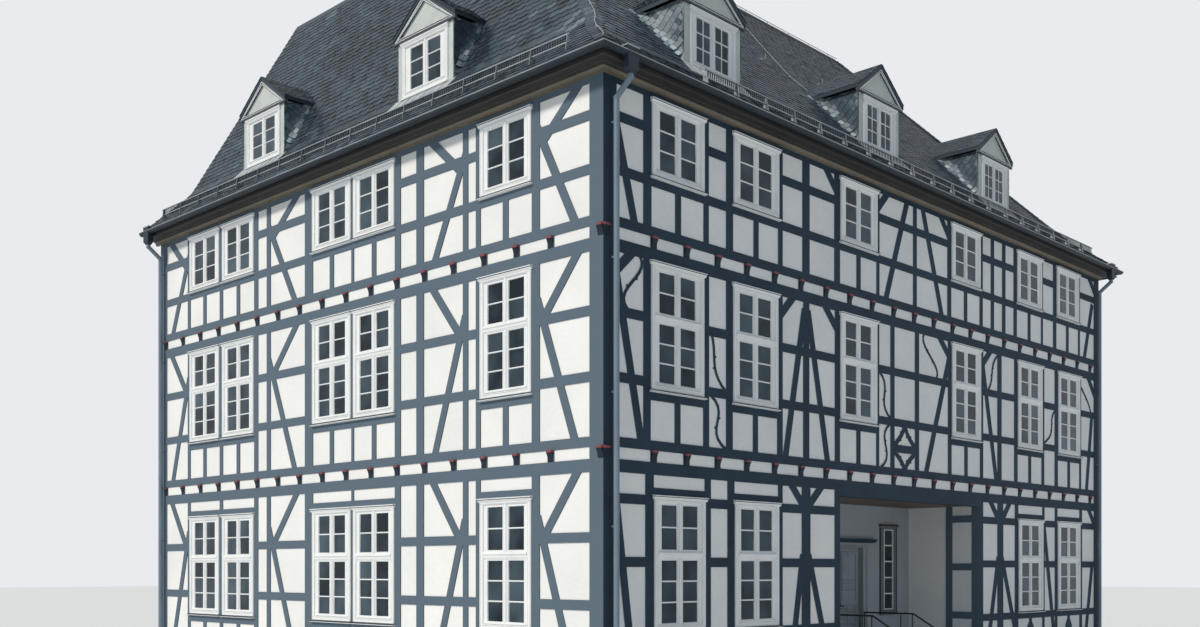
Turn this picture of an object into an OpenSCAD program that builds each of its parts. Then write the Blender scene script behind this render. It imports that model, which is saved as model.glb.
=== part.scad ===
// Half timbered town house: a dark oak frame with white plaster infill on a
// stone plinth, three storeys high, under a hipped slate roof with dormers.
// House frame used inside: x runs along the front from the near corner,
// y runs back from the front wall plane, z is height above the ground.

/* [Plan] */
// Length of the front
house_len = 20170; // [19000:10:22000]
// Depth of the main block
main_depth = 12300; // [11800:10:12800]
// Depth of the left side with its rear wing
wing_depth = 15500; // [15000:10:16500]
// Width of the rear wing
wing_width = 8040; // [7800:10:8300]
// Left edge of the porch opening
porch_x0 = 7000; // [6950:10:7100]
// Width of the porch opening
porch_w = 6000; // [5800:10:6100]
// Depth of the porch recess
porch_depth = 1890; // [1600:10:2300]

/* [Walls] */
// Depth of the timbers
timber_d = 180; // [140:5:220]
// How far the plaster panels lie behind the timber faces
panel_back = 15; // [5:1:30]
// Thickness of the plaster lining inside
lining_t = 40; // [20:5:60]
// Width of the corner posts
corner_w = 320; // [250:10:380]
// Width of a brace
brace_w = 170; // [120:10:200]
// Width of the thin curved struts
curve_w = 55; // [45:5:80]
// Thickness of the plinth walls
plinth_t = 450; // [400:10:600]

/* [Heights] */
// Top of the stone plinth
plinth_h = 700; // [600:10:800]
// Height of the sill beam on the plinth
sill_h = 170; // [120:10:220]
// Ground floor level above the plinth
floor_up = 250; // [200:10:300]
// Height of the ground storey, from plinth to plate
ground_h = 3650; // [3550:10:3800]
// Height of a wall plate
plate_h = 215; // [160:5:240]
// Height of the joist ends between plate and sill
joist_h = 200; // [160:10:240]
// Clear height of the first storey between sill and plate
first_clear = 3075; // [3000:5:3200]
// Clear height of the second storey between sill and plate
second_clear = 2195; // [2080:5:2300]

/* [Windows] */
// Height of the ground windows
ground_win_h = 2360; // [2300:10:2400]
// Height of the first storey window sill above its floor beam
first_win_up = 860; // [800:10:900]
// Height of the second storey window sill above its floor beam
second_win_up = 860; // [800:10:900]
// Width of the window casing boards
casing_w = 100; // [70:5:110]
// Width of the glazed lights
light_w = 415; // [380:5:430]
// Width of the middle post with the sash stiles beside it
mull_w = 150; // [120:5:180]
// Width of the transom with the sash rails beside it
transom_w = 180; // [140:5:200]
// Height of the glazed lights above the lower edge of a window
light_up = 150; // [130:5:170]
// Thickness of the sash frames
sash_t = 45; // [35:5:60]
// How far the casements lie behind the wall's face
sash_in = 2; // [0:1:30]
// How far the casings stand out of the timber face
casing_out = 20; // [10:1:40]
// How far the window sills stand out of the timber face
sill_out = 70; // [50:5:80]
// How far the head boards stand out of the timber face
head_out = 55; // [45:5:70]
// Thickness of the glass
glass_t = 8; // [4:1:12]

/* [Roof] */
// How far the roof edge reaches out of the walls
eave_out = 400; // [380:5:440]
// How far the fascia stands out of the walls
fascia_out = 350; // [320:5:370]
// Height of the roof edge above the plate
eave_up = 210; // [200:5:240]
// Depth of the roof flare behind the wall on the long slopes
flare_in = 600; // [500:10:700]
// Rise of the flare on the long slopes
flare_rise = 740; // [700:10:780]
// Depth of the flare on the hipped ends
side_flare_in = 900; // [850:10:950]
// Rise of the flare on the hipped ends
side_flare_rise = 1210; // [1150:10:1250]
// Height of the ridge above the roof edge
ridge_up = 6510; // [6300:10:6700]
// Vertical thickness of the long slopes
slope_t = 220; // [180:10:260]
// Vertical thickness of the steep slopes
steep_t = 300; // [260:10:340]
// Width of the bargeboards on the rear gable
barge_w = 220; // [180:10:260]
// Radius of the half round gutter
gutter_r = 75; // [60:1:80]
// Radius of the downpipes
pipe_r = 50; // [40:1:60]
// Height of the snow guards above the slates
guard_h = 260; // [200:10:320]
// Depth of the snow guards behind the roof edge
guard_in = 300; // [250:10:400]

/* [Dormers] */
// Distance of the dormer faces behind the walls
dormer_back = 900; // [850:10:1000]
// Width of a dormer
dormer_w = 1700; // [1600:10:1800]
// Height of a dormer window casing
dormer_win_h = 1150; // [1050:10:1250]
// Rise of a dormer gable
dormer_rise = 700; // [600:10:800]

/* [Entrance] */
// Width of one door leaf
leaf_w = 905; // [850:5:950]
// Height of the door leaves
leaf_h = 2320; // [2200:10:2400]
// Thickness of the door leaves
leaf_t = 60; // [45:1:70]
// Clearance around the door leaves
door_gap = 6; // [5:1:10]
// Width of the stair between its rails
stair_w = 1750; // [1500:10:2000]
// Number of risers
risers = 6; // [5:1:7]
// Depth of a tread
tread_d = 300; // [260:5:340]
// Depth of the landing in front of the door
landing_d = 1390; // [1200:10:1500]
// How far the treads stand out over the risers
nose = 25; // [15:5:40]

/* [Hidden] */
$fn = 32;

// How far timbers of one frame run into each other
lap = 5;
// How far a piece stays under or over the slanted face that it seats on
seat = 0.3;
// How far braces are let into posts and beams
brace_in = 20;
sill0 = plinth_h;
sill0_top = sill0 + sill_h;
floor0 = plinth_h + floor_up;
plate0 = plinth_h + ground_h;
joist1 = plate0 + plate_h;
sill1 = joist1 + joist_h;
sill1_top = sill1 + sill_h;
plate1 = sill1_top + first_clear;
joist2 = plate1 + plate_h;
sill2 = joist2 + joist_h;
sill2_top = sill2 + sill_h;
plate2 = sill2_top + second_clear;
top2 = plate2 + sill_h;
wall_t = timber_d + lining_t;
verge = 150;

rail_t = 170;
head_t = 130;
win0_lo = plate0 - rail_t - head_t - 50 - ground_win_h;
win0_hi = win0_lo + ground_win_h;
win1_lo = sill1_top + first_win_up;
win2_lo = sill2_top + second_win_up;

right_x = house_len;
porch_x1 = porch_x0 + porch_w;
porch_mid = (porch_x0 + porch_x1) / 2;
stair_front = porch_depth - landing_d - (risers - 1) * tread_d;
frame_y = (stair_front + wing_depth + verge) / 2;

oak = "#3d4b57";
plaster = "#f2f0ea";
stone = "#8f8b85";
slate = "#454c57";
cream = "#ecebe4";
zinc = "#6f7f8c";
board = "#6a625b";

// Places the house frame so that its box is centred over the origin
module place() {
  translate([-house_len / 2, -frame_y, 0]) children();
}

// Wall frames: children are drawn with x along the wall, y inwards, z up
module on_wall(wall) {
  if (wall == "front") children();
  if (wall == "left") mirror([1, -1, 0]) children();
  if (wall == "right") translate([right_x, 0, 0]) mirror([1, 0, 0]) mirror([1, -1, 0]) children();
  if (wall == "rear") translate([0, main_depth, 0]) mirror([0, 1, 0]) children();
  if (wall == "return") translate([wing_width, 0, 0]) mirror([1, 0, 0]) mirror([1, -1, 0]) children();
  if (wall == "wing_end") translate([0, wing_depth, 0]) mirror([0, 1, 0]) children();
}

// Stands a flat drawing up, from depth d0 to depth d1 behind the wall plane
module standing(d0, d1) {
  translate([0, d1, 0]) rotate([90, 0, 0]) linear_extrude(d1 - d0) children();
}

// Runs a section, drawn as depth and height, along a wall from x0 to x1
module along(x0, x1) {
  translate([x0, 0, 0]) rotate([90, 0, 90]) linear_extrude(x1 - x0) children();
}

module rect(x0, z0, x1, z1) {
  translate([x0, z0]) square([x1 - x0, z1 - z0]);
}

function mix(a, b, f) = a + (b - a) * f;

// A straight bar between two points of a wall drawing
module bar2(a, b, w) {
  d = b - a;
  n = [-d[1], d[0]] / norm(d) * w / 2;
  polygon([a + n, b + n, b - n, a - n]);
}

// Clear bay i of a post list
function bay_x0(posts, i) = posts[i][1];
function bay_x1(posts, i) = posts[i + 1][0];

// Posts stand at shares of their wall's length and keep their own widths. A list gives where each
// post starts, in thousandths of the wall, and how wide it is.
function spread(list, a, b) =
  [for (p = list) let (x = round(a + (b - a) * p[0] / 1000)) [x, x + p[1]]];
function corner_posts(list, len) = concat([[0, corner_w]], spread(list, 0, len), [[len - corner_w, len]]);

posts_ground_left = concat([[0, corner_w]],
  spread([[148.6, 210], [375.7, 170], [470, 200], [694.3, 140], [807.1, 290]], 0, porch_x0),
  [[porch_x0 - 190, porch_x0]]);
posts_ground_right = concat([[porch_x1, porch_x1 + 240]],
  spread([[139.5, 300], [272, 180], [493.7, 120], [599.7, 150], [820.1, 160]], porch_x1, house_len),
  [[house_len - corner_w, house_len]]);
posts_first = corner_posts([[49.1, 180], [128.4, 160], [161.1, 190], [239.5, 170], [282.6, 200],
  [338.1, 180], [416.5, 110], [445.2, 160], [496.8, 170], [571.1, 160], [649, 150],
  [694.1, 210], [739.2, 180], [817.6, 150], [857.2, 190], [935.5, 110]], house_len);
posts_second = corner_posts([[49.1, 200], [128.9, 140], [161.1, 200], [241, 140], [281.1, 240],
  [337.1, 200], [417, 110], [492.8, 150], [569.7, 170], [648, 150], [676.7, 160],
  [706.5, 170], [737.7, 170], [816.1, 100], [852.3, 190], [931.6, 110]], house_len);
posts_left = corner_posts([[98.7, 200], [200, 130], [222.6, 150], [307.7, 230], [354.8, 190],
  [456.8, 90], [554.2, 310], [663.9, 160], [698.1, 170], [800, 150], [901.3, 130]], wing_depth);
posts_right = corner_posts([[124.4, 200], [252, 130], [280.5, 150], [387.8, 230], [447.2, 190],
  [575.6, 90], [698.4, 310], [836.6, 160]], main_depth);
posts_rear = concat([[wing_width - timber_d, wing_width + 140]],
  [for (p = posts_first) if (p[0] > wing_width + 500) p]);
posts_return = concat([[main_depth, main_depth + 200]],
  spread([[281.3, 145], [767.2, 145]], main_depth, wing_depth), [[wing_depth - 200, wing_depth]]);
posts_wing = concat([[0, corner_w]],
  spread([[143, 150], [337.1, 150], [490, 160], [644.3, 150], [838.3, 150]], 0, wing_width),
  [[wing_width - corner_w, wing_width]]);

// Bays that hold a window
win_ground_left = [1, 3];
win_ground_right = [2, 4];
win_first = [1, 3, 6, 10, 13, 15];
win_second = [1, 3, 6, 9, 13, 15];
win_left = [1, 5, 6, 9, 10];
win_right = [1, 5, 6];
win_rear = [3, 6, 8];
win_return = [1];
win_wing = [1, 4];

// Storey levels: sill top, plate underside, window bottom, window top, rails of the plain bays
ground = [sill0_top, plate0, win0_lo, win0_hi, [win0_lo - rail_t, plate0 - 1580, plate0 - 520]];
first = [sill1_top, plate1, win1_lo, plate1, [win1_lo + 50, plate1 - 1070]];
second = [sill2_top, plate2, win2_lo, plate2, [win2_lo - rail_t, plate2 - 610]];
ground_side = [sill0_top, plate0, win0_lo, win0_hi, [plate0 - 2300, plate0 - 1170]];

// Braces: bay, then start and end as shares of the bay's width and height
braces_ground_left = [[0, 0, 0.85, 0.6, 0], [4, 1, 0.57, 0.45, 0], [5, 0, 0.57, 0.75, 0],
  [4, 0.5, 1, 1, 0.91], [5, 0, 0.91, 0.4, 1]];
braces_ground_right = [[0, 1, 0.57, 0.35, 0], [1, 0, 0.57, 1, 0.1], [0, 0.55, 1, 1, 0.9],
  [1, 0, 0.9, 0.5, 1], [3, 0, 0.83, 0.95, 0], [5, 0.85, 0.57, 0.3, 0], [5, 0.6, 1, 1, 0.9]];
braces_first = [[0, 0, 0.88, 0.9, 0], [0, 0, 0.9, 0.5, 1], [4, 1, 0.9, 0.15, 0],
  [4, 0, 0.9, 0.45, 1], [5, 0, 0.9, 0.7, 0], [5, 0.65, 1, 1, 0.9], [9, 0.25, 0, 1, 0.83],
  [9, 0.73, 1, 1, 0.9], [11, 0, 0.9, 0.45, 1], [11, 0, 0.87, 0.9, 0],
  [16, 0.6, 1, 1, 0.88], [16, 0.43, 0, 0.85, 0.7]];
braces_second = [[0, 0, 0.7, 0.65, 0], [5, 0.7, 1, 1, 0.88], [7, 0.8, 1, 0.2, 0],
  [7, 0, 0.87, 0.2, 1], [8, 0.2, 1, 0.8, 0], [8, 0.8, 1, 1, 0.87],
  [16, 0.33, 0, 0.87, 0.7], [16, 0.7, 1, 1, 0.88]];
function side_braces(up, down) = [
  [up, 0.25, 1, 0.9, 0.7], [up, 1, 0.75, 0.3, 0], [down, 0.75, 1, 0.1, 0.7], [down, 0, 0.75, 0.7, 0]];
braces_left = concat(side_braces(0, 3), side_braces(7, 11));
braces_right = concat(side_braces(0, 3), side_braces(7, 8));
braces_rear = side_braces(2, 4);
braces_return = [];
braces_wing = side_braces(5, 0);

// Joist ends: how many across each wall
joist_first = 1250;
joist_pitch = 872.5;
joist_w = 160;

module posts2(posts, level) {
  for (p = posts) rect(p[0], level[0] - lap, p[1], level[1] + lap);
}

// A brace runs on into the post, plate or sill that it ends at
function on_edge(x, z) = x == 0 || x == 1 || z == 0 || z == 1;
module brace2(posts, level, b) {
  x0 = bay_x0(posts, b[0]);
  x1 = bay_x1(posts, b[0]);
  start = [mix(x0, x1, b[1]), mix(level[0], level[1], b[2])];
  end = [mix(x0, x1, b[3]), mix(level[0], level[1], b[4])];
  further = (end - start) / norm(end - start) * brace_w;
  intersection() {
    rect(x0 - brace_in, level[0] - brace_in, x1 + brace_in, level[1] + brace_in);
    bar2(on_edge(b[1], b[2]) ? start - further : start, on_edge(b[3], b[4]) ? end + further : end,
      brace_w);
  }
}

function is_in(i, list) = len([for (v = list) if (v == i) v]) > 0;

// Curved struts: bay, panel counted from below, then the shares of the panel's width at the four
// control points of a curve that falls evenly from the panel's top to its bottom
curves_first = [[0, 2, [0.9, 1.2, -0.1, 0.37]], [2, 1, [0.18, 0.46, 0.02, 0.9]],
  [2, 0, [0.2, 1.2, -0.3, 0.95]], [7, 1, [0.12, 1.1, -0.2, 0.94]], [7, 0, [0.85, -0.2, 1.4, 0.25]],
  [9, 2, [0.16, 0, 0.75, 0.61]], [11, 2, [1.05, 0.4, 0.8, 0.38]], [14, 1, [1.05, 0.24, 1.33, -0.1]],
  [16, 2, [-0.4, 0, 0.6, 0.75]]];
knob_at = [0.4, 0.6];
knob_r = curve_w / 2;
function panel_z0(level, k) = k == 0 ? level[0] : level[4][k - 1] + rail_t;
function panel_z1(level, k) = k < len(level[4]) ? level[4][k] : level[1];
function bezier(c, t) = let (u = 1 - t)
  u * u * u * c[0] + 3 * u * u * t * c[1] + 3 * u * t * t * c[2] + t * t * t * c[3];
function curve_point(b, c, t) = [mix(b[0], b[2], bezier(c, t)), mix(b[3], b[1], t)];

// A curve that falls through box b = [x0, z0, x1, z1], as wide as w all along
module curve2(b, c, w) {
  steps = 10;
  past = 0.04;
  ts = [for (i = [0:steps]) -past + (1 + 2 * past) * i / steps];
  points = [for (t = ts) curve_point(b, c, t)];
  side = [for (t = ts) let (d = curve_point(b, c, t + 0.01) - curve_point(b, c, t - 0.01))
    [-d[1], d[0]] / norm(d) * w / 2];
  intersection() {
    rect(b[0] - brace_in, b[1] - brace_in, b[2] + brace_in, b[3] + brace_in);
    union() {
      polygon(concat([for (i = [0:steps]) points[i] + side[i]],
        [for (i = [steps:-1:0]) points[i] - side[i]]));
      for (k = [0, 1]) let (t = knob_at[k], i = round(steps * t)) {
        translate(points[i] + (k == 0 ? 1.2 : -1.2) * side[i]) circle(r = knob_r * 0.8);
      }
    }
  }
}
module strut2(posts, level, s) {
  box = [bay_x0(posts, s[0]), panel_z0(level, s[1]), bay_x1(posts, s[0]), panel_z1(level, s[1])];
  curve2(box, s[2], curve_w);
}

// Two arcs that leave the upper corners of a panel and meet at the middle of its lower edge
funnel_w = 110;
module funnel2(x0, z0, x1, z1) {
  for (side = [0, 1]) curve2([x0, z0, x1, z1],
    side == 0 ? [0.02, 0.25, 0.42, 0.46] : [0.98, 0.75, 0.58, 0.54], funnel_w);
}

// The ornamental panel: a rail between an upright and a hanging pair of arcs
ornament_bay = 8;
module ornament2(posts, level) {
  x0 = bay_x0(posts, ornament_bay);
  x1 = bay_x1(posts, ornament_bay);
  z0 = panel_z0(level, 0);
  z1 = panel_z1(level, 0);
  rail0 = z0 + 345;
  rect(x0 - lap, rail0, x1 + lap, rail0 + rail_t);
  funnel2(x0, z0, x1, rail0);
  translate([0, rail0 + rail_t + z1]) mirror([0, 1]) funnel2(x0, rail0 + rail_t, x1, z1);
}

// An onion shaped board under the middle of a window
onion_bays = [2, 4];
onion_w = 400;
module onion2(posts, level, i) {
  mid = (bay_x0(posts, i) + bay_x1(posts, i)) / 2;
  z0 = level[0];
  z1 = level[2] - rail_t;
  ts = [for (k = [0:12]) k / 12];
  half_w = [for (t = ts) 30 + (onion_w / 2 - 30) * pow(sin(180 * t), 1.6)];
  polygon(concat([for (k = [0:12]) [mid + half_w[k], mix(z0 - lap, z1 + lap, ts[k])]],
    [for (k = [12:-1:0]) [mid - half_w[k], mix(z0 - lap, z1 + lap, ts[k])]]));
}

// One storey of timber: posts, rails, window rails, studs and braces
module storey2(posts, wins, level, braces) {
  posts2(posts, level);
  for (i = [0:len(posts) - 2]) {
    x0 = bay_x0(posts, i) - lap;
    x1 = bay_x1(posts, i) + lap;
    if (is_in(i, wins)) {
      rect(x0, level[2] - rail_t, x1, level[2]);
      rect((x0 + x1) / 2 - 75, level[0] - lap, (x0 + x1) / 2 + 75, level[2]);
      if (level[3] < level[1]) rect(x0, level[3], x1, level[3] + head_t);
    } else {
      for (z = level[4]) rect(x0, z, x1, z + rail_t);
    }
  }
  for (b = braces) brace2(posts, level, b);
}

module joists2(x0, x1, z) {
  count = floor((x1 - x0 - joist_first) / joist_pitch);
  for (i = [0:count]) {
    x = x0 + joist_first + i * joist_pitch;
    if (x + joist_w < x1) rect(x - joist_w / 2, z - lap, x + joist_w / 2, z + joist_h + lap);
  }
}

// Plate, joist ends and sill between two storeys
module band2(x0, x1, z) {
  rect(x0, z, x1, z + plate_h);
  joists2(x0, x1, z + plate_h);
  rect(x0, z + plate_h + joist_h, x1, z + plate_h + joist_h + sill_h);
  rect(x0, z, x0 + corner_w, z + plate_h + joist_h + sill_h);
  rect(x1 - corner_w, z, x1, z + plate_h + joist_h + sill_h);
}

module windows2(posts, wins, level) {
  for (i = wins) rect(bay_x0(posts, i), level[2], bay_x1(posts, i), level[3]);
}

// One wall of three storeys, as a flat drawing of its timbers
module side_timbers2(posts, wins, braces, x0, x1) {
  rect(x0, sill0, x1, sill0_top);
  storey2(posts, wins, ground_side, braces);
  band2(x0, x1, plate0);
  storey2(posts, wins, first, braces);
  band2(x0, x1, plate1);
  storey2(posts, wins, second, braces);
  rect(x0, plate2, x1, top2);
}

module side_windows2(posts, wins) {
  windows2(posts, wins, ground_side);
  windows2(posts, wins, first);
  windows2(posts, wins, second);
}

module front_ground_left2() {
  intersection() {
    rect(0, sill0, porch_x0, plate0);
    union() {
      rect(0, sill0, porch_x0, sill0_top);
      storey2(posts_ground_left, win_ground_left, ground, braces_ground_left);
    }
  }
}

module front_ground_right2() {
  intersection() {
    rect(porch_x1, sill0, house_len, plate0);
    union() {
      rect(porch_x1, sill0, house_len, sill0_top);
      storey2(posts_ground_right, win_ground_right, ground, braces_ground_right);
      for (i = onion_bays) onion2(posts_ground_right, ground, i);
    }
  }
}

module front_first2() {
  band2(0, house_len, plate0);
  storey2(posts_first, win_first, first, braces_first);
  for (s = curves_first) strut2(posts_first, first, s);
  ornament2(posts_first, first);
  rect(0, plate1, house_len, joist2);
}

module front_second2() {
  intersection() {
    rect(0, joist2, house_len, sill2);
    joists2(0, house_len, joist2);
  }
  rect(0, joist2, corner_w, sill2);
  rect(house_len - corner_w, joist2, house_len, sill2);
  rect(0, sill2, house_len, sill2_top);
  storey2(posts_second, win_second, second, braces_second);
  rect(0, plate2, house_len, top2);
}

// The timbers of the front, storey by storey
module front_frame_left() { color(oak) place() standing(0, timber_d) front_ground_left2(); }
module front_frame_right() { color(oak) place() standing(0, timber_d) front_ground_right2(); }
module front_frame_first() { color(oak) place() standing(0, timber_d) front_first2(); }
module front_frame_second() { color(oak) place() standing(0, timber_d) front_second2(); }

// Plaster panels between the timbers, and the lining behind them
module panels(wall, x0, x1, z0, z1) {
  place() on_wall(wall) standing(panel_back, timber_d) difference() {
    rect(x0, z0, x1, z1);
    children();
  }
}

module lining(wall, x0, x1, z0, z1) {
  place() on_wall(wall) standing(timber_d, wall_t) difference() {
    rect(x0, z0, x1, z1);
    children();
  }
}

module front_infill_left() {
  color(plaster) {
    panels("front", 0, porch_x0, sill0, plate0) {
      front_ground_left2();
      windows2(posts_ground_left, win_ground_left, ground);
    }
    lining("front", timber_d, porch_x0 - wall_t, sill0, plate0)
      windows2(posts_ground_left, win_ground_left, ground);
  }
}

module front_infill_right() {
  color(plaster) {
    panels("front", porch_x1, house_len, sill0, plate0) {
      front_ground_right2();
      windows2(posts_ground_right, win_ground_right, ground);
    }
    lining("front", porch_x1 + wall_t, house_len - timber_d, sill0, plate0)
      windows2(posts_ground_right, win_ground_right, ground);
  }
}

module front_infill_first() {
  color(plaster) {
    panels("front", 0, house_len, plate0, joist2) {
      front_first2();
      windows2(posts_first, win_first, first);
    }
    lining("front", timber_d, house_len - timber_d, joist1, joist2)
      windows2(posts_first, win_first, first);
  }
}

module front_infill_second() {
  color(plaster) {
    panels("front", 0, house_len, joist2, top2) {
      front_second2();
      windows2(posts_second, win_second, second);
    }
    lining("front", timber_d, house_len - timber_d, joist2, top2)
      windows2(posts_second, win_second, second);
  }
}

// The other walls stand between the front wall and the wing end
module side_frame(wall, posts, wins, braces, x0, x1, clip0, clip1) {
  color(oak) place() on_wall(wall) standing(0, timber_d) intersection() {
    rect(clip0, sill0, clip1, top2);
    side_timbers2(posts, wins, braces, x0, x1);
  }
}

module side_infill(wall, posts, wins, braces, x0, x1, clip0, clip1, in0, in1) {
  color(plaster) {
    panels(wall, clip0, clip1, sill0, top2) {
      side_timbers2(posts, wins, braces, x0, x1);
      side_windows2(posts, wins);
    }
    lining(wall, in0, in1, sill0, top2) side_windows2(posts, wins);
  }
}

module left_frame() {
  side_frame("left", posts_left, win_left, braces_left, 0, wing_depth, timber_d, wing_depth - timber_d);
}
module left_infill() {
  side_infill("left", posts_left, win_left, braces_left, 0, wing_depth, timber_d,
    wing_depth - timber_d, wall_t, wing_depth - wall_t);
}
module right_frame() {
  side_frame("right", posts_right, win_right, braces_right, 0, main_depth, timber_d, main_depth);
}
module right_infill() {
  side_infill("right", posts_right, win_right, braces_right, 0, main_depth, timber_d,
    main_depth, wall_t, main_depth - wall_t);
}
module rear_frame() {
  side_frame("rear", posts_rear, win_rear, braces_rear, wing_width - timber_d, house_len,
    wing_width - timber_d, house_len - timber_d);
}
module rear_infill() {
  side_infill("rear", posts_rear, win_rear, braces_rear, wing_width - timber_d, house_len,
    wing_width - timber_d, house_len - timber_d, wing_width - timber_d, house_len - timber_d);
}
module return_frame() {
  side_frame("return", posts_return, win_return, braces_return, main_depth, wing_depth,
    main_depth, wing_depth - timber_d);
}
module return_infill() {
  side_infill("return", posts_return, win_return, braces_return, main_depth, wing_depth,
    main_depth, wing_depth - timber_d, main_depth - wall_t + timber_d, wing_depth - wall_t);
}

// The gable over the wing end, under the roof
module gable2() {
  intersection() {
    polygon(side_under_points(wing_width));
    rect(0, top2 - 5, wing_width, ridge_z);
  }
}

gable_rails = [1700, 3300];
gable_posts = [-2750, -1500, 0, 1500, 2750];
gable_post_w = 150;
rafter_w = 320;
module gable_timbers2() {
  for (x = gable_posts) let (mid = wing_width / 2 + x)
    rect(mid - gable_post_w / 2, top2 - lap, mid + gable_post_w / 2, ridge_z);
  for (z = gable_rails) rect(0, top2 + z, wing_width, top2 + z + rail_t);
  difference() {
    gable2();
    translate([0, -rafter_w]) gable2();
  }
}

module wing_end_frame() {
  color(oak) place() on_wall("wing_end") standing(0, timber_d) {
    side_timbers2(posts_wing, win_wing, braces_wing, 0, wing_width);
    intersection() {
      gable2();
      gable_timbers2();
    }
  }
}

module wing_end_infill() {
  color(plaster) {
    panels("wing_end", 0, wing_width, sill0, top2) {
      side_timbers2(posts_wing, win_wing, braces_wing, 0, wing_width);
      side_windows2(posts_wing, win_wing);
    }
    place() on_wall("wing_end") standing(panel_back, timber_d) difference() {
      intersection() {
        gable2();
        rect(0, top2, wing_width, ridge_z);
      }
      gable_timbers2();
    }
    lining("wing_end", timber_d, wing_width - timber_d, sill0, top2) side_windows2(posts_wing, win_wing);
    place() on_wall("wing_end") standing(timber_d, wall_t) intersection() {
      gable2();
      union() {
        rect(0, top2, wing_width, ridge_z);
        rect(timber_d, top2 - lap, wing_width - timber_d, ridge_z);
      }
    }
  }
}

// Stone plinth walls along the whole outline, with the porch notch
module plinth() {
  a = plinth_t;
  color(stone) place() linear_extrude(plinth_h) difference() {
    polygon([[0, 0], [porch_x0, 0], [porch_x0, porch_depth], [porch_x1, porch_depth],
      [porch_x1, 0], [house_len, 0], [house_len, main_depth], [wing_width, main_depth],
      [wing_width, wing_depth], [0, wing_depth]]);
    polygon([[a, a], [porch_x0 - a, a], [porch_x0 - a, porch_depth + a],
      [porch_x1 + a, porch_depth + a], [porch_x1 + a, a], [house_len - a, a],
      [house_len - a, main_depth - a], [wing_width - a, main_depth - a],
      [wing_width - a, wing_depth - a], [a, wing_depth - a]]);
  }
}

module floor_plan2(t) {
  polygon([[t, t], [house_len - t, t], [house_len - t, main_depth - t],
    [wing_width - t, main_depth - t], [wing_width - t, wing_depth - t], [t, wing_depth - t]]);
}

module floor_slab(z0, z1) {
  place() translate([0, 0, z0]) linear_extrude(z1 - z0) children();
}

module ground_floor() {
  color("#8a7a66") floor_slab(plinth_h, floor0) difference() {
    floor_plan2(wall_t);
    rect(porch_x0 - wall_t, 0, porch_x1 + wall_t, porch_depth + wall_t);
  }
}
module first_floor() { color("#8a7a66") floor_slab(joist1, sill1) floor_plan2(wall_t); }
module second_floor() { color("#8a7a66") floor_slab(joist2, sill2) floor_plan2(wall_t); }
module attic_floor() { color("#8a7a66") floor_slab(plate2, top2) floor_plan2(wall_t); }

// Head board and sill of a window, wider than its casing
board_past = 30;
module window_boards(x0, x1, z0, z1) {
  along(x0 - board_past, x1 + board_past)
    polygon([[0, z0 + 12], [-sill_out, z0 - 2], [-sill_out, z0 - 22], [0, z0 - 32]]);
  along(x0 - board_past, x1 + board_past)
    polygon([[0, z1 + 8], [-head_out, z1 - 4], [-head_out, z1 - 24], [-casing_out - 8, z1 - 64],
      [0, z1 - 64]]);
}

// A window: casing, sash frames with two lights, and a transom in tall ones
module window(x0, x1, z0, z1, transom) {
  mid = (x0 + x1) / 2;
  in0 = x0 + casing_w;
  in1 = x1 - casing_w;
  light = min(light_w, mid - mull_w / 2 - in0);
  window_boards(x0, x1, z0, z1);
  standing(-casing_out, 120) difference() {
    rect(x0, z0, x1, z1);
    rect(in0, z0 + casing_w, in1, z1 - casing_w);
  }
  standing(sash_in, sash_in + sash_t) difference() {
    rect(x0 + 5, z0 + 5, x1 - 5, z1 - 5);
    for (x = [mid - mull_w / 2 - light, mid + mull_w / 2]) {
      if (transom > 0) {
        rect(x, z0 + light_up, x + light, transom - transom_w / 2);
        rect(x, transom + transom_w / 2, x + light, z1 - light_up);
      } else {
        rect(x, z0 + light_up, x + light, z1 - light_up);
      }
    }
  }
}

module window_glass(x0, x1, z0, z1) {
  standing(sash_in + sash_t, sash_in + sash_t + glass_t)
    rect(x0 + casing_w, z0 + casing_w, x1 - casing_w, z1 - casing_w);
}

module wall_windows(posts, wins, level, transom) {
  for (i = wins) window(bay_x0(posts, i), bay_x1(posts, i), level[2], level[3], transom);
}
module wall_glass(posts, wins, level) {
  for (i = wins) window_glass(bay_x0(posts, i), bay_x1(posts, i), level[2], level[3]);
}

transom0 = win0_lo + 1340;
transom1 = win1_lo + 1260;

module side_wall_windows(posts, wins) {
  wall_windows(posts, wins, ground_side, transom0);
  wall_windows(posts, wins, first, transom1);
  wall_windows(posts, wins, second, 0);
}
module side_wall_glass(posts, wins) {
  wall_glass(posts, wins, ground_side);
  wall_glass(posts, wins, first);
  wall_glass(posts, wins, second);
}

module front_windows() {
  color(cream) place() {
    wall_windows(posts_ground_left, win_ground_left, ground, transom0);
    wall_windows(posts_ground_right, win_ground_right, ground, transom0);
    wall_windows(posts_first, win_first, first, transom1);
    wall_windows(posts_second, win_second, second, 0);
  }
}
module side_windows() {
  color(cream) place() {
    on_wall("left") side_wall_windows(posts_left, win_left);
    on_wall("right") side_wall_windows(posts_right, win_right);
  }
}
module rear_windows() {
  color(cream) place() {
    on_wall("rear") side_wall_windows(posts_rear, win_rear);
    on_wall("return") side_wall_windows(posts_return, win_return);
    on_wall("wing_end") side_wall_windows(posts_wing, win_wing);
  }
}
module front_glass() {
  color("#7d8b94") place() {
    wall_glass(posts_ground_left, win_ground_left, ground);
    wall_glass(posts_ground_right, win_ground_right, ground);
    wall_glass(posts_first, win_first, first);
    wall_glass(posts_second, win_second, second);
  }
}
module side_glass() {
  color("#7d8b94") place() {
    on_wall("left") side_wall_glass(posts_left, win_left);
    on_wall("right") side_wall_glass(posts_right, win_right);
  }
}
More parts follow.
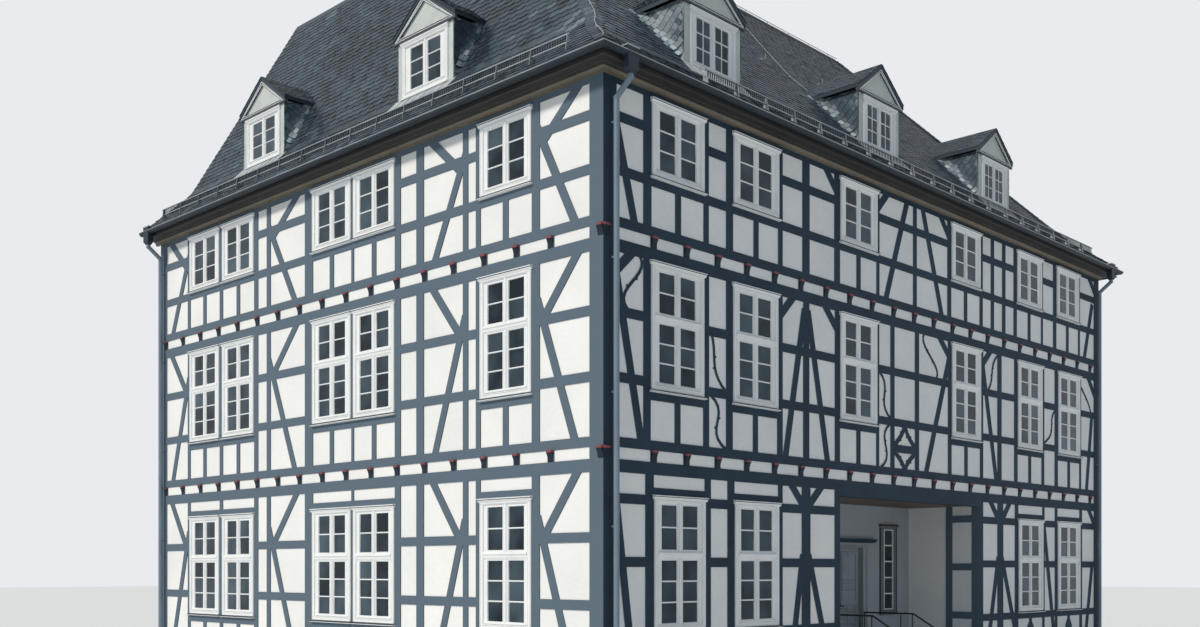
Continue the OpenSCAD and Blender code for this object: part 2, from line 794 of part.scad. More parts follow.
module rear_glass() {
  color("#7d8b94") place() {
    on_wall("rear") side_wall_glass(posts_rear, win_rear);
    on_wall("return") side_wall_glass(posts_return, win_return);
    on_wall("wing_end") side_wall_glass(posts_wing, win_wing);
  }
}

// Porch
lintel_drop = 120;
meet_gap = 8;
door_x0 = porch_mid - leaf_w - door_gap;
door_x1 = porch_mid + leaf_w + door_gap;
jamb_w = 175;
door_top = floor0 + leaf_h + 2 * door_gap;
head_w = 90;
porch_win_w = 760;
porch_win_x = 1640;
porch_win_z0 = 1640;
porch_win_z1 = 3800;

module porch_lintel() {
  color(oak) place() standing(0, timber_d) rect(porch_x0, plate0 - lintel_drop, porch_x1, plate0);
}
module porch_ceiling() {
  color("#b9a992") place() translate([porch_x0, timber_d, plate0 - 100])
    cube([porch_w, porch_depth - timber_d, 100 + plate_h]);
}

side_post = [690, 860];
side_rails = [1525, 2700, 3860];
module porch_side2() {
  rect(side_post[0], sill0, side_post[1], joist1);
  rect(timber_d, sill0, side_post[1], sill0_top);
  for (z = side_rails) rect(timber_d, z, side_post[1], z + rail_t);
}
module porch_side_frame() { standing(0, timber_d) porch_side2(); }
module porch_side_wall() {
  standing(panel_back, timber_d) difference() {
    rect(timber_d, sill0, porch_depth, joist1);
    porch_side2();
  }
  standing(timber_d, wall_t) rect(timber_d, sill0, porch_depth, joist1);
}
module on_porch_sides() {
  translate([porch_x0, 0, 0]) mirror([1, 0, 0]) mirror([1, -1, 0]) children();
  translate([porch_x1, 0, 0]) mirror([1, -1, 0]) children();
}
module porch_side_frames() { color(oak) place() on_porch_sides() porch_side_frame(); }
module porch_side_walls() { color("#d8cfc3") place() on_porch_sides() porch_side_wall(); }

module porch_back(x0, x1, z0, z1) {
  translate([0, porch_depth, 0]) standing(0, wall_t) difference() {
    rect(x0, z0, x1, z1);
    for (s = [-1, 1]) {
      x = porch_mid + s * (porch_win_x + porch_win_w / 2);
      rect(x - porch_win_w / 2, porch_win_z0, x + porch_win_w / 2, porch_win_z1);
    }
  }
}
module porch_back_left() {
  color("#d8cfc3") place() porch_back(porch_x0 - wall_t, door_x0 - jamb_w, plinth_h, joist1);
}
module porch_back_right() {
  color("#d8cfc3") place() porch_back(door_x1 + jamb_w, porch_x1 + wall_t, plinth_h, joist1);
}
module porch_back_over() {
  color("#d8cfc3") place() porch_back(door_x0 - jamb_w, door_x1 + jamb_w, door_top + head_w, joist1);
}

module porch_window_at(s) {
  x = porch_mid + s * (porch_win_x + porch_win_w / 2);
  h = (porch_win_z1 - porch_win_z0 - 2 * casing_w) / 5;
  translate([0, porch_depth, 0])
    window_boards(x - porch_win_w / 2, x + porch_win_w / 2, porch_win_z0, porch_win_z1);
  translate([0, porch_depth, 0]) standing(-casing_out, 100) difference() {
    rect(x - porch_win_w / 2, porch_win_z0, x + porch_win_w / 2, porch_win_z1);
    for (i = [0:4])
      rect(x - 200, porch_win_z0 + casing_w + i * h + 15, x + 200, porch_win_z0 + casing_w + (i + 1) * h - 15);
  }
}
module porch_windows() {
  color(cream) place() for (s = [-1, 1]) porch_window_at(s);
}
module porch_glass() {
  color("#7d8b94") place() for (s = [-1, 1]) {
    x = porch_mid + s * (porch_win_x + porch_win_w / 2);
    translate([0, porch_depth, 0]) standing(100, 100 + glass_t)
      rect(x - porch_win_w / 2, porch_win_z0, x + porch_win_w / 2, porch_win_z1);
  }
}

// Door frame with pintle hinges; the leaves open inwards
leaf_y0 = porch_depth + 120;
leaf_y1 = leaf_y0 + leaf_t;
frame_back = leaf_y1 - 10;
knuckle_r = 14;
pin_r = 7;
pin_fit = 0.05;
hinge_y = leaf_y1 + 12;
hinge_heights = [250, 1150, 2050];
knuckle_h = 90;
lug_h = 16;

module hinge_lugs(x, side) {
  for (h = hinge_heights) translate([x, hinge_y, floor0 + h]) {
    translate([0, 0, -lug_h]) cylinder(r = pin_r, h = lug_h + knuckle_h + 6);
    translate([side > 0 ? -60 : 0, -7, -lug_h]) cube([60, 14, lug_h - 0.3]);
    translate([side > 0 ? -60 : 22, frame_back - hinge_y, -lug_h]) cube([38, 22, lug_h - 0.3]);
  }
}

module door_frame() {
  color("#8d8f8c") place() {
    translate([0, frame_back, 0]) rotate([90, 0, 0]) linear_extrude(frame_back - porch_depth) difference() {
      rect(door_x0 - jamb_w, floor0 - 10, door_x1 + jamb_w, door_top + head_w);
      rect(door_x0, floor0 - 11, door_x1, door_top);
    }
    hinge_lugs(door_x0 + door_gap, 1);
    hinge_lugs(door_x1 - door_gap, -1);
  }
}

module leaf(x0, x1, hinge_x) {
  difference() {
    union() {
      translate([x0, leaf_y0, floor0 + door_gap]) cube([x1 - x0, leaf_t, leaf_h]);
      for (h = hinge_heights) translate([hinge_x, hinge_y, floor0 + h]) cylinder(r = knuckle_r, h = knuckle_h);
    }
    for (h = hinge_heights) translate([hinge_x, hinge_y, floor0 + h - 1])
      cylinder(r = pin_r + pin_fit, h = knuckle_h + 2);
    for (x = [x0 + 130, (x0 + x1) / 2 + 40]) for (z = [[200, 900], [1050, 2150]])
      translate([x, leaf_y0 - 1, floor0 + z[0]]) cube([(x1 - x0) / 2 - 170, 16, z[1] - z[0]]);
  }
}

module door_leaf_left() {
  color("#777c7e") place() leaf(door_x0 + door_gap, porch_mid - meet_gap / 2, door_x0 + door_gap);
}
module door_leaf_right() {
  color("#777c7e") place() leaf(porch_mid + meet_gap / 2, door_x1 - door_gap, door_x1 - door_gap);
}
module door_cornice() {
  color("#777c7e") place() along(door_x0 - jamb_w - 250, door_x1 + jamb_w + 250)
    polygon([[porch_depth, door_top + 75], [porch_depth - 60, door_top + 75],
      [porch_depth - 130, door_top + 130], [porch_depth - 130, door_top + 160], [porch_depth, door_top + 160]]);
}

// Entrance stair: a stone block with tread slabs and two rails
riser_h = floor0 / risers;
tread_t = 50;
module entrance_steps() {
  x0 = porch_mid - stair_w / 2 - 60;
  color(stone) place() {
    along(x0, x0 + stair_w + 120) polygon(concat([[porch_depth, 0], [stair_front + nose, 0]],
      [for (i = [1:risers - 1], k = [0, 1])
        [stair_front + nose + (i - 1 + k) * tread_d, i * riser_h - tread_t]],
      [[stair_front + nose + (risers - 1) * tread_d, floor0 - tread_t],
        [porch_depth, floor0 - tread_t]]));
    translate([door_x0 - jamb_w, porch_depth, plinth_h])
      cube([door_x1 - door_x0 + 2 * jamb_w, wall_t, floor0 - 10 - plinth_h]);
  }
}
module stair_treads() {
  x0 = porch_mid - stair_w / 2 - 60;
  color("#a7a39b") place() for (i = [1:risers]) {
    deep = i < risers ? tread_d : landing_d;
    translate([x0, stair_front + (i - 1) * tread_d, i * riser_h - tread_t])
      cube([stair_w + 120, deep, tread_t]);
  }
}

rail_r = 20;
rail_up = 750;
module rod(a, b, r) {
  d = b - a;
  translate(a) rotate([0, acos(d[2] / norm(d)), atan2(d[1], d[0])]) cylinder(r = r, h = norm(d));
}
module stair_rail(x) {
  land_y = stair_front + (risers - 1) * tread_d;
  top = floor0 + rail_up;
  foot = [x, stair_front + 150, riser_h];
  for (y = [land_y + 60, land_y + 360, porch_depth - 60])
    translate([x, y, floor0]) cylinder(r = rail_r * 0.7, h = rail_up);
  translate(foot) cylinder(r = rail_r * 0.7, h = rail_up);
  rod([x, porch_depth - 40, top], [x, land_y + 40, top], rail_r);
  translate([x, land_y + 40, top]) sphere(r = rail_r + 3);
  rod([x, land_y + 40, top], foot + [0, 0, rail_up], rail_r);
  translate(foot + [0, 0, rail_up]) sphere(r = rail_r + 3);
}
module stair_rails() {
  color("#3a3d40") place() for (s = [-1, 1]) stair_rail(porch_mid + s * stair_w / 2);
}

// Roof surfaces. Long slopes run along the front, steep ones close the ends.
eave_z = top2 + eave_up;
flare_z = eave_z + flare_rise;
side_flare_z = eave_z + side_flare_rise;
ridge_z = eave_z + ridge_up;
eave_tip = 60;
ridge_y = main_depth / 2;
side_ridge = wing_width / 2;
main_pitch = (ridge_z - flare_z) / (ridge_y - flare_in);
side_pitch = (ridge_z - side_flare_z) / (side_ridge - side_flare_in);
main_knee = 100;
function main_flare_at(d) = eave_z + (d + eave_out) * flare_rise / (flare_in + eave_out);
function side_flare_at(d) = eave_z + (d + eave_out) * side_flare_rise / (side_flare_in + eave_out);
function main_at(d) = flare_z + (d - flare_in) * main_pitch;
function side_at(d) = side_flare_z + (d - side_flare_in) * side_pitch;

big = 3000;
// One slope from the roof edge to far past the ridge, as the space under it
function main_over() = [[-eave_out, eave_z], [flare_in, flare_z], [ridge_y + big, main_at(ridge_y + big)]];
function main_inner() = [[-eave_out, eave_z - eave_tip], [main_knee, main_flare_at(main_knee) - slope_t],
  [flare_in, flare_z - slope_t], [ridge_y + big, main_at(ridge_y + big) - slope_t]];
function side_over() = [[-eave_out, eave_z], [side_flare_in, side_flare_z],
  [side_ridge + big, side_at(side_ridge + big)]];
function side_inner() = [[-eave_out, eave_z - eave_tip], [main_knee, side_flare_at(main_knee) - slope_t],
  [side_flare_in, side_flare_z - steep_t], [side_ridge + big, side_at(side_ridge + big) - steep_t]];
function side_under_points(w) = concat([[0, top2 - 5]], [[0, side_inner_at0()]],
  [side_inner()[1], side_inner()[2], [w / 2, side_at(w / 2) - steep_t]],
  [[w - side_inner()[2][0], side_inner()[2][1]], [w - side_inner()[1][0], side_inner()[1][1]]],
  [[w, side_inner_at0()], [w, top2 - 5]]);
function side_inner_at0() = mix(side_inner()[0][1], side_inner()[1][1], eave_out / (eave_out + main_knee));

base_z = plate2 - 500;
module under(profile, x0, x1, far) {
  top = profile[len(profile) - 1][1];
  along(x0, x1) polygon(concat([[-eave_out, base_z]], profile, [[far, top], [far, base_z]]));
}

module sheet(outer, inner, x0, x1) {
  n = len(inner);
  along(x0, x1) polygon(concat(outer, [for (i = [n - 1:-1:0]) inner[i]]));
}

end_y = wing_depth + verge;
rx0 = -eave_out;
rx1 = house_len + eave_out;
ry1 = main_depth + eave_out;

module front_under(profile, y1) { under(profile, rx0, rx1, y1); }
module left_under(profile) { on_wall("left") under(profile, -eave_out, end_y, house_len + big); }
module right_under(profile) { on_wall("right") under(profile, -eave_out, ry1, house_len + big); }
module rear_under(profile) { on_wall("rear") under(profile, rx0, rx1, main_depth + big); }
module wing_under(profile) {
  intersection() {
    on_wall("left") under(profile, ridge_y - 500, end_y, wing_width + big);
    on_wall("return") under(profile, ridge_y - 500, end_y, wing_width + big);
  }
}
module half(y0, y1) { translate([rx0 - 10, y0, base_z - 10]) cube([rx1 - rx0 + 20, y1 - y0, ridge_z]); }
module sides(x0, x1) { translate([x0, rx0 - 10, base_z - 10]) cube([x1 - x0, end_y + 500, ridge_z]); }

module dormer_cuts(wall, centres, low, w) {
  on_wall(wall) for (c = centres)
    translate([c - w / 2 + 100, dormer_back + 100, base_z]) cube([w - 200, low - dormer_back - 100, ridge_z]);
}

module front_slope() {
  color(slate) place() difference() {
    intersection() {
      sheet(main_over(), main_inner(), rx0, rx1);
      half(rx0, ridge_y);
      left_under(side_over());
      right_under(side_over());
    }
    dormer_cuts("front", front_dormers, front_reach, dormer_w);
  }
}
module rear_slope() {
  color(slate) place() difference() {
    intersection() {
      on_wall("rear") sheet(main_over(), main_inner(), rx0, rx1);
      half(ridge_y, ry1);
      right_under(side_over());
    }
    wing_under(side_over());
    sides(rx0 - 20, side_ridge);
  }
}
module left_slope() {
  color(slate) place() difference() {
    intersection() {
      on_wall("left") sheet(side_over(), side_inner(), rx0, end_y);
      sides(rx0 - 5, side_ridge);
      front_under(main_inner(), wing_depth + big);
    }
    dormer_cuts("left", left_dormers, side_reach, side_dormer_w);
  }
}
module right_slope() {
  color(slate) place() intersection() {
    on_wall("right") sheet(side_over(), side_inner(), rx0, ry1);
    front_under(main_inner(), wing_depth + big);
    rear_under(main_inner());
  }
}
module wing_slope() {
  color(slate) place() difference() {
    intersection() {
      on_wall("return") sheet(side_over(), side_inner(), ridge_y, end_y);
      sides(side_ridge, wing_width + eave_out);
    }
    intersection() {
      front_under(main_inner(), wing_depth + big);
      rear_under(main_inner());
    }
  }
}

// The space under the roof boards
module attic_space() {
  intersection() {
    front_under(main_inner(), wing_depth + big);
    rear_under(main_inner());
    left_under(side_inner());
    right_under(side_inner());
  }
  intersection() {
    front_under(main_inner(), wing_depth + big);
    wing_under(side_inner());
  }
}

// Boxed eaves: soffit, fascia and the filling on the wall plate
reach = 600;
module plan_prism(points) {
  translate([0, 0, base_z]) linear_extrude(ridge_z) polygon(points);
}
front_plan = [[-reach, -reach], [house_len + reach, -reach], [house_len - reach, reach], [reach, reach]];
left_plan = [[-reach, -reach], [reach, reach], [reach, end_y], [-reach, end_y]];
right_plan = [[house_len + reach, -reach], [house_len + reach, main_depth + reach],
  [house_len - reach, main_depth - reach], [house_len - reach, reach]];
rear_plan = [[house_len + reach, main_depth + reach], [house_len - reach, main_depth - reach],
  [wing_width - reach, main_depth - reach], [wing_width + reach, main_depth + reach]];
return_plan = [[wing_width - reach, main_depth - reach], [wing_width + reach, main_depth + reach],
  [wing_width + reach, end_y], [wing_width - reach, end_y]];

// Boxed eaves: a flat soffit, and a hollow moulding that leaves it for the wall plate
soffit_z = top2 + 20;
cornice_z = top2 - 60;
cornice_out = 150;
cornice_foot = 50;
module eave_box(x0, x1) {
  hollow = [for (i = [0:4]) let (a = 22.5 * i) [-cornice_out + (cornice_out - cornice_foot) * sin(a),
    cornice_z + (soffit_z - cornice_z) * cos(a)]];
  along(x0, x1) polygon(concat([[-fascia_out, soffit_z]], hollow,
    [[0, cornice_z], [0, top2], [timber_d, top2], [timber_d, eave_z + 400],
    [-fascia_out, eave_z + 400]]));
}
module gutter_trough(x0, x1) {
  along(x0, x1) translate([-fascia_out - gutter_r, eave_z - eave_tip + 10]) difference() {
    circle(r = gutter_r);
    circle(r = gutter_r - 5);
    translate([-gutter_r - 1, 0]) square([2 * gutter_r + 2, gutter_r + 1]);
  }
}
module around(kind) {
  intersection() { edge_run(kind, rx0 - 200, rx1 + 200); plan_prism(front_plan); }
  intersection() { on_wall("left") edge_run(kind, rx0 - 200, end_y); plan_prism(left_plan); }
  intersection() { on_wall("right") edge_run(kind, rx0 - 200, ry1 + 200); plan_prism(right_plan); }
  intersection() { on_wall("rear") edge_run(kind, 0, rx1 + 200); plan_prism(rear_plan); }
  intersection() { on_wall("return") edge_run(kind, 0, end_y); plan_prism(return_plan); }
}
module edge_run(kind, x0, x1) {
  if (kind == "box") eave_box(x0, x1);
  else gutter_trough(x0, x1);
}
// Bargeboards under the ends of the slopes on the rear gable
barge_t = 40;
function barge_line() = let (p = side_inner(), x0 = -fascia_out)
  [[x0, mix(p[0][1], p[1][1], (eave_out - fascia_out) / (eave_out + main_knee))], p[1], p[2],
    [side_ridge, side_at(side_ridge) - steep_t]];
module bargeboards() {
  line = barge_line();
  upper = concat(line, [for (i = [len(line) - 2:-1:0]) [wing_width - line[i][0], line[i][1]]]);
  n = len(upper);
  on_wall("wing_end") standing(-verge + 5, -verge + 5 + barge_t) translate([0, -seat])
    polygon(concat(upper, [for (i = [n - 1:-1:0]) upper[i] - [0, barge_w]]));
}
module eaves() {
  color(board) place() {
    difference() {
      intersection() {
        around("box");
        attic_space();
      }
      translate([0, wing_depth - wall_t, top2]) cube([wing_width, wall_t, ridge_up]);
    }
    bargeboards();
  }
}
module gutters() { color(zinc) place() around("gutter"); }

// Downpipes with swan necks, held off the walls by short brackets
pipe_off = 110;
neck_z = plate2 - 300;
// Rainwater head where the pipe leaves the gutter
head_box = [230, 140, 170];
module downpipe(x) {
  gut = [x, -fascia_out - gutter_r, eave_z - eave_tip + 10 - gutter_r - 0.2];
  rod([x, -pipe_off, 80], [x, -pipe_off, neck_z], pipe_r);
  translate([x, -pipe_off, neck_z]) sphere(r = pipe_r + 6);
  rod([x, -pipe_off, neck_z], [x, gut[1], neck_z + 250], pipe_r);
  translate([x, gut[1], neck_z + 250]) sphere(r = pipe_r + 6);
  rod([x, gut[1], neck_z + 250], gut, pipe_r);
  translate(gut - [head_box[0] / 2, head_box[1] / 2, head_box[2]]) cube(head_box);
  for (i = [0:4]) translate([x - 15, -pipe_off, mix(1200, neck_z - 400, i / 4)])
    cube([30, pipe_off, 30]);
}
module downpipes() {
  color(zinc) place() {
    downpipe(200);
    downpipe(house_len - 200);
    on_wall("left") downpipe(wing_depth - 200);
    on_wall("right") downpipe(main_depth - 200);
  }
}

// Ridge and hip caps: strips that fold over both slopes
cap_w = 230;
cap_t = 45;
// A hip rises where both slopes are equally high
function side_x_at(z) = z < side_flare_z
  ? (z - eave_z) / side_flare_rise * (side_flare_in + eave_out) - eave_out
  : side_flare_in + (z - side_flare_z) / side_pitch;
function main_y_at(z) = z < flare_z
  ? (z - eave_z) / flare_rise * (flare_in + eave_out) - eave_out
  : flare_in + (z - flare_z) / main_pitch;
hip_points = [for (z = [eave_z, flare_z, side_flare_z, ridge_z]) [side_x_at(z), main_y_at(z)]];
function hip(dx, sx, dy, sy) = [for (p = hip_points) [dx + sx * p[0], dy + sy * p[1]]];

module strip2(points) {
  for (i = [0:len(points) - 2]) {
    along_it = points[i + 1] - points[i];
    past = along_it / norm(along_it) * cap_w / 3;
    bar2(points[i] - past, points[i + 1] + past, cap_w);
  }
}
module ridge_caps() {
  color("#5c636b") place() difference() {
    intersection() {
      translate([0, 0, cap_t]) roof_solid();
      plan_strips() {
        strip2(hip(0, 1, 0, 1));
        strip2(hip(house_len, -1, 0, 1));
        strip2(hip(house_len, -1, main_depth, -1));
        strip2([[side_ridge, ridge_y], [house_len - side_ridge, ridge_y]]);
        strip2([[side_ridge, ridge_y], [side_ridge, end_y]]);
      }
    }
    roof_solid();
  }
}
module plan_strips() {
  translate([0, 0, eave_z - 10]) linear_extrude(ridge_z) union() children();
}

// Everything under the outer roof surface
module roof_solid() {
  intersection() {
    front_under(main_over(), wing_depth + big);
    rear_under(main_over());
    left_under(side_over());
    right_under(side_over());
  }
  intersection() {
    front_under(main_over(), wing_depth + big);
    wing_under(side_over());
  }
}

// Snow guards: two rails on brackets that stand on the slates
guard_from = 2500;
guard_pitch = 900;
guard_bar = 22;
function guard_base(kind, d) = kind == "long" ? main_flare_at(d) : side_flare_at(d);
module guard_run(kind, x0, x1) {
  d = guard_in - eave_out;
  top = guard_base(kind, d) + guard_h;
  count = floor((x1 - x0) / guard_pitch);
  for (z = [top - guard_bar, top - guard_h * 0.6])
    along(x0, x1) translate([d - guard_bar / 2, z]) square(guard_bar);
  for (i = [0:count]) along(x0 + 20 + i * guard_pitch, x0 + 30 + i * guard_pitch)
    polygon([[d - 70, guard_base(kind, d - 70) + seat], [d + 70, guard_base(kind, d + 70) + seat],
      [d + 15, top], [d - 15, top]]);
}
module snow_guards() {
  color(zinc) place() {
    guard_run("long", guard_from, house_len - 700);
    on_wall("left") guard_run("steep", 700, wing_depth - 300);
  }
}

// Dormers
front_dormers = [3970, 9990, 15620];
left_dormers = [5880, 12100];
side_dormer_w = 1790;
dormer_wall = 100;
dormer_over = 120;
dormer_roof_t = 80;
front_sill = main_at(dormer_back) - 20;
side_sill = side_at(dormer_back) + 50;
front_eave = front_sill + dormer_win_h + 90;
side_eave = side_sill + dormer_win_h + 90;
function main_reach(z) = flare_in + (z - flare_z) / main_pitch;
function end_reach(z) = side_flare_in + (z - side_flare_z) / side_pitch;
front_reach = main_reach(front_eave) - 150;
side_reach = end_reach(side_eave) - 100;

module dormer_body(c, w, sill, eave, deep) {
  x0 = c - w / 2;
  difference() {
    translate([x0, dormer_back, sill - 400]) cube([w, deep, eave - sill + 400]);
    translate([x0 + dormer_wall, dormer_back + dormer_wall, sill - 500])
      cube([w - 2 * dormer_wall, deep, eave - sill + 600]);
    translate([c - w / 2 + 150, dormer_back - 1, sill])
      cube([w - 300, dormer_wall + 2, dormer_win_h]);
  }
}
module dormer_top(c, w, eave, deep) {
  h = dormer_rise;
  half_w = w / 2 + dormer_over;
  fall = h / half_w;
  translate([0, dormer_back - 60, 0]) translate([0, deep, 0]) rotate([90, 0, 0]) linear_extrude(deep)
    polygon([[c - half_w, eave], [c, eave + h], [c + half_w, eave],
      [c + half_w, eave + dormer_roof_t], [c, eave + h + dormer_roof_t], [c - half_w, eave + dormer_roof_t]]);
}
module dormer_gable(c, w, eave) {
  h = dormer_rise;
  half_w = w / 2 + dormer_over;
  translate([0, dormer_back + dormer_wall, 0]) rotate([90, 0, 0]) linear_extrude(dormer_wall)
    polygon([[c - w / 2, eave - seat], [c + w / 2, eave - seat],
      [c + w / 2, eave + h * dormer_over / half_w - seat],
      [c, eave + h - seat], [c - w / 2, eave + h * dormer_over / half_w - seat]]);
}
// Pediment: raking and level mouldings framing the gable under the roof's front edge
raking_w = 95;
cornice_h = 70;
pediment_out = 45;
module dormer_pediment(w, eave) {
  half_w = w / 2 + dormer_over;
  fall = dormer_rise / half_w;
  a = half_w - 10;
  top = eave + dormer_rise - seat;
  b = half_w * (1 - (raking_w + 20) / dormer_rise);
  translate([0, dormer_back, 0]) rotate([90, 0, 0]) linear_extrude(pediment_out) difference() {
    polygon([[-a, eave - cornice_h], [a, eave - cornice_h], [a, top - a * fall], [0, top],
      [-a, top - a * fall]]);
    polygon([[-b, eave + 20], [b, eave + 20], [0, eave + 20 + b * fall]]);
  }
}
module dormer_pediments() {
  color(cream) place() {
    front_each() dormer_pediment(dormer_w, front_eave);
    left_each() dormer_pediment(side_dormer_w, side_eave);
  }
}

module front_each() { for (c = front_dormers) translate([c, 0, 0]) children(); }
module left_each() { on_wall("left") for (c = left_dormers) translate([c, 0, 0]) children(); }

module dormer_walls() {
  color("#5b626b") place() {
    difference() {
      front_each() union() {
        dormer_body(0, dormer_w, front_sill, front_eave, 3000);
        dormer_gable(0, dormer_w, front_eave);
      }
      front_under(main_over(), wing_depth);
    }
    difference() {
      left_each() union() {
        dormer_body(0, side_dormer_w, side_sill, side_eave, 2000);
        dormer_gable(0, side_dormer_w, side_eave);
      }
      left_under(side_over());
    }
  }
}
module dormer_roofs() {
  color(slate) place() {
    difference() {
      front_each() dormer_top(0, dormer_w, front_eave, 4000);
      front_under(main_over(), wing_depth);
    }
    difference() {
      left_each() dormer_top(0, side_dormer_w, side_eave, 3000);
      left_under(side_over());
    }
  }
}
module dormer_window(w, sill) {
  translate([0, dormer_back, 0]) window(-w / 2 + 150, w / 2 - 150, sill, sill + dormer_win_h, 0);
}
module dormer_windows() {
  color(cream) place() {
    difference() {
      front_each() dormer_window(dormer_w, front_sill);
      front_under(main_over(), wing_depth);
    }
    difference() {
      left_each() dormer_window(side_dormer_w, side_sill);
      left_under(side_over());
    }
  }
}
module dormer_glass() {
  color("#7d8b94") place() {
    difference() {
      front_each() dormer_pane(dormer_w, front_sill);
      front_under(main_over(), wing_depth);
    }
    difference() {
      left_each() dormer_pane(side_dormer_w, side_sill);
      left_under(side_over());
    }
  }
}
module dormer_pane(w, sill) {
  translate([0, dormer_back, 0]) window_glass(-w / 2 + 150, w / 2 - 150, sill, sill + dormer_win_h);
}

plinth();
ground_floor();
first_floor();
second_floor();
attic_floor();
front_frame_left();
front_frame_right();
front_frame_first();
front_frame_second();
front_infill_left();
front_infill_right();
front_infill_first();
front_infill_second();
left_frame();
left_infill();
right_frame();
right_infill();
rear_frame();
rear_infill();
return_frame();
return_infill();
wing_end_frame();
wing_end_infill();
front_windows();
side_windows();
rear_windows();
front_glass();
side_glass();
rear_glass();
porch_lintel();
porch_ceiling();
porch_side_frames();
porch_side_walls();
porch_back_left();
porch_back_right();
porch_back_over();
porch_windows();
porch_glass();
door_frame();
door_leaf_left();
door_leaf_right();
door_cornice();
entrance_steps();
stair_treads();
stair_rails();
front_slope();
rear_slope();
left_slope();
right_slope();
wing_slope();
eaves();
gutters();
downpipes();
ridge_caps();
dormer_walls();
dormer_roofs();
dormer_windows();
dormer_glass();
dormer_pediments();
snow_guards();
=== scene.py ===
"""Looks of a three-storey half timbered town house with a hipped slate roof.

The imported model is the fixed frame. Each of its nodes keeps its mesh and gets a finish. What it
leaves out is built here as closed surfaces, worked out as whole arrays of points: slates, window bars
and mouldings, beam ends, gutter straps, conductor cables, door furniture and stair scrolls.
"""

import logging
import math
from collections.abc import Callable, Sequence
from dataclasses import dataclass
from enum import Enum

import bpy
import numpy as np
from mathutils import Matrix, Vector


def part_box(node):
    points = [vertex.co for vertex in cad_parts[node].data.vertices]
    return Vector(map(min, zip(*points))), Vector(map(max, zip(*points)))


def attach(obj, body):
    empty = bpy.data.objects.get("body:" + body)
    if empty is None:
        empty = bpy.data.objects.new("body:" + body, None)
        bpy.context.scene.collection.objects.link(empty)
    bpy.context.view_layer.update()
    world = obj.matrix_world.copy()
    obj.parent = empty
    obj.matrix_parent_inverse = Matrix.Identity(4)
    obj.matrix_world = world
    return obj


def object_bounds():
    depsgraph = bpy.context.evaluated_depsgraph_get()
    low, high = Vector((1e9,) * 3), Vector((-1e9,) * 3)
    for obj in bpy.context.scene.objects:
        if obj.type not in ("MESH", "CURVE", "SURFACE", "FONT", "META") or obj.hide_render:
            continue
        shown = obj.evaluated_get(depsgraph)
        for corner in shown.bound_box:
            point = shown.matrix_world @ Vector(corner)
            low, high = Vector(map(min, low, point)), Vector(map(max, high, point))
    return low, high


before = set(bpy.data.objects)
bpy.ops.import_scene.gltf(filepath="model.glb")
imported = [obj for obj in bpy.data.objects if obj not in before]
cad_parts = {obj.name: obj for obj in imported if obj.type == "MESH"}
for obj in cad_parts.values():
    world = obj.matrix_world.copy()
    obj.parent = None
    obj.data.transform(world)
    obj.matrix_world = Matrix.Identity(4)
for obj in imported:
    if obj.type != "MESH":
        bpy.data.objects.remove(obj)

CAD_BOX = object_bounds()
LOG = logging.getLogger("house")
Array = np.ndarray
Tree = bpy.types.NodeTree
Socket = bpy.types.NodeSocket
UP = np.array([0.0, 0.0, 1.0])

# The near corner of the plinth is the corner of the house: x runs along the front, y back from it
CORNER = np.array(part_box("plinth")[0])


def linear(colour: str) -> tuple[float, float, float, float]:
    """Turns an sRGB hex colour into linear light.

    Args:
        colour: six hex digits after a hash sign.

    Returns:
        Linear red, green, blue and an alpha of one.
    """
    parts = [int(colour[i : i + 2], 16) / 255 for i in (1, 3, 5)]
    light = [p / 12.92 if p <= 0.04045 else ((p + 0.055) / 1.055) ** 2.4 for p in parts]
    return (light[0], light[1], light[2], 1.0)


def add_node(tree: Tree, kind: str, settings: dict | None = None,
             inputs: dict | None = None) -> bpy.types.Node:
    """Adds one shader node with its settings and links.

    Args:
        tree: the material's node tree.
        kind: the node's type name without its ShaderNode prefix.
        settings: values of the node's own properties.
        inputs: for each input socket a constant, or an output socket to link.

    Returns:
        The new node.
    """
    node = tree.nodes.new("ShaderNode" + kind)
    for name, value in (settings or {}).items():
        setattr(node, name, value)
    for name, value in (inputs or {}).items():
        socket = node.inputs[name]
        if isinstance(value, Socket):
            tree.links.new(value, socket)
        else:
            socket.default_value = value
    return node


class Slot(Enum):
    """The record's material slots."""

    OAK = "oak"
    PLASTER = "plaster"
    PORCH = "porch_plaster"
    STONE = "stone"
    SLATE = "slate"
    PAINTED = "painted_wood"
    EAVES = "eaves_board"
    DOOR = "door_wood"
    BOARDS = "floor_boards"
    ZINC = "zinc"
    IRON = "ironwork"
    GLASS = "window_glass"


@dataclass(frozen=True)
class Surface:
    """A real surface, named for what it is, that makes its own material."""

    name: str

    def material(self) -> bpy.types.Material:
        """Builds the material, or returns it where it was built before.

        Returns:
            The material.
        """
        made = bpy.data.materials.get(self.name)
        if made is not None:
            return made
        made = bpy.data.materials.new(self.name)
        made.use_nodes = True
        tree = made.node_tree
        tree.nodes.clear()
        shader = self.shader(tree, add_node(tree, "TexCoord").outputs["Object"])
        add_node(tree, "OutputMaterial", inputs={"Surface": shader.outputs["BSDF"]})
        return made

    def shader(self, tree: Tree, place: Socket) -> bpy.types.Node:
        """Adds the nodes of the look. Each kind of surface has its own.

        Args:
            tree: the material's node tree.
            place: Object coordinates.

        Returns:
            The shader node.
        """
        raise NotImplementedError


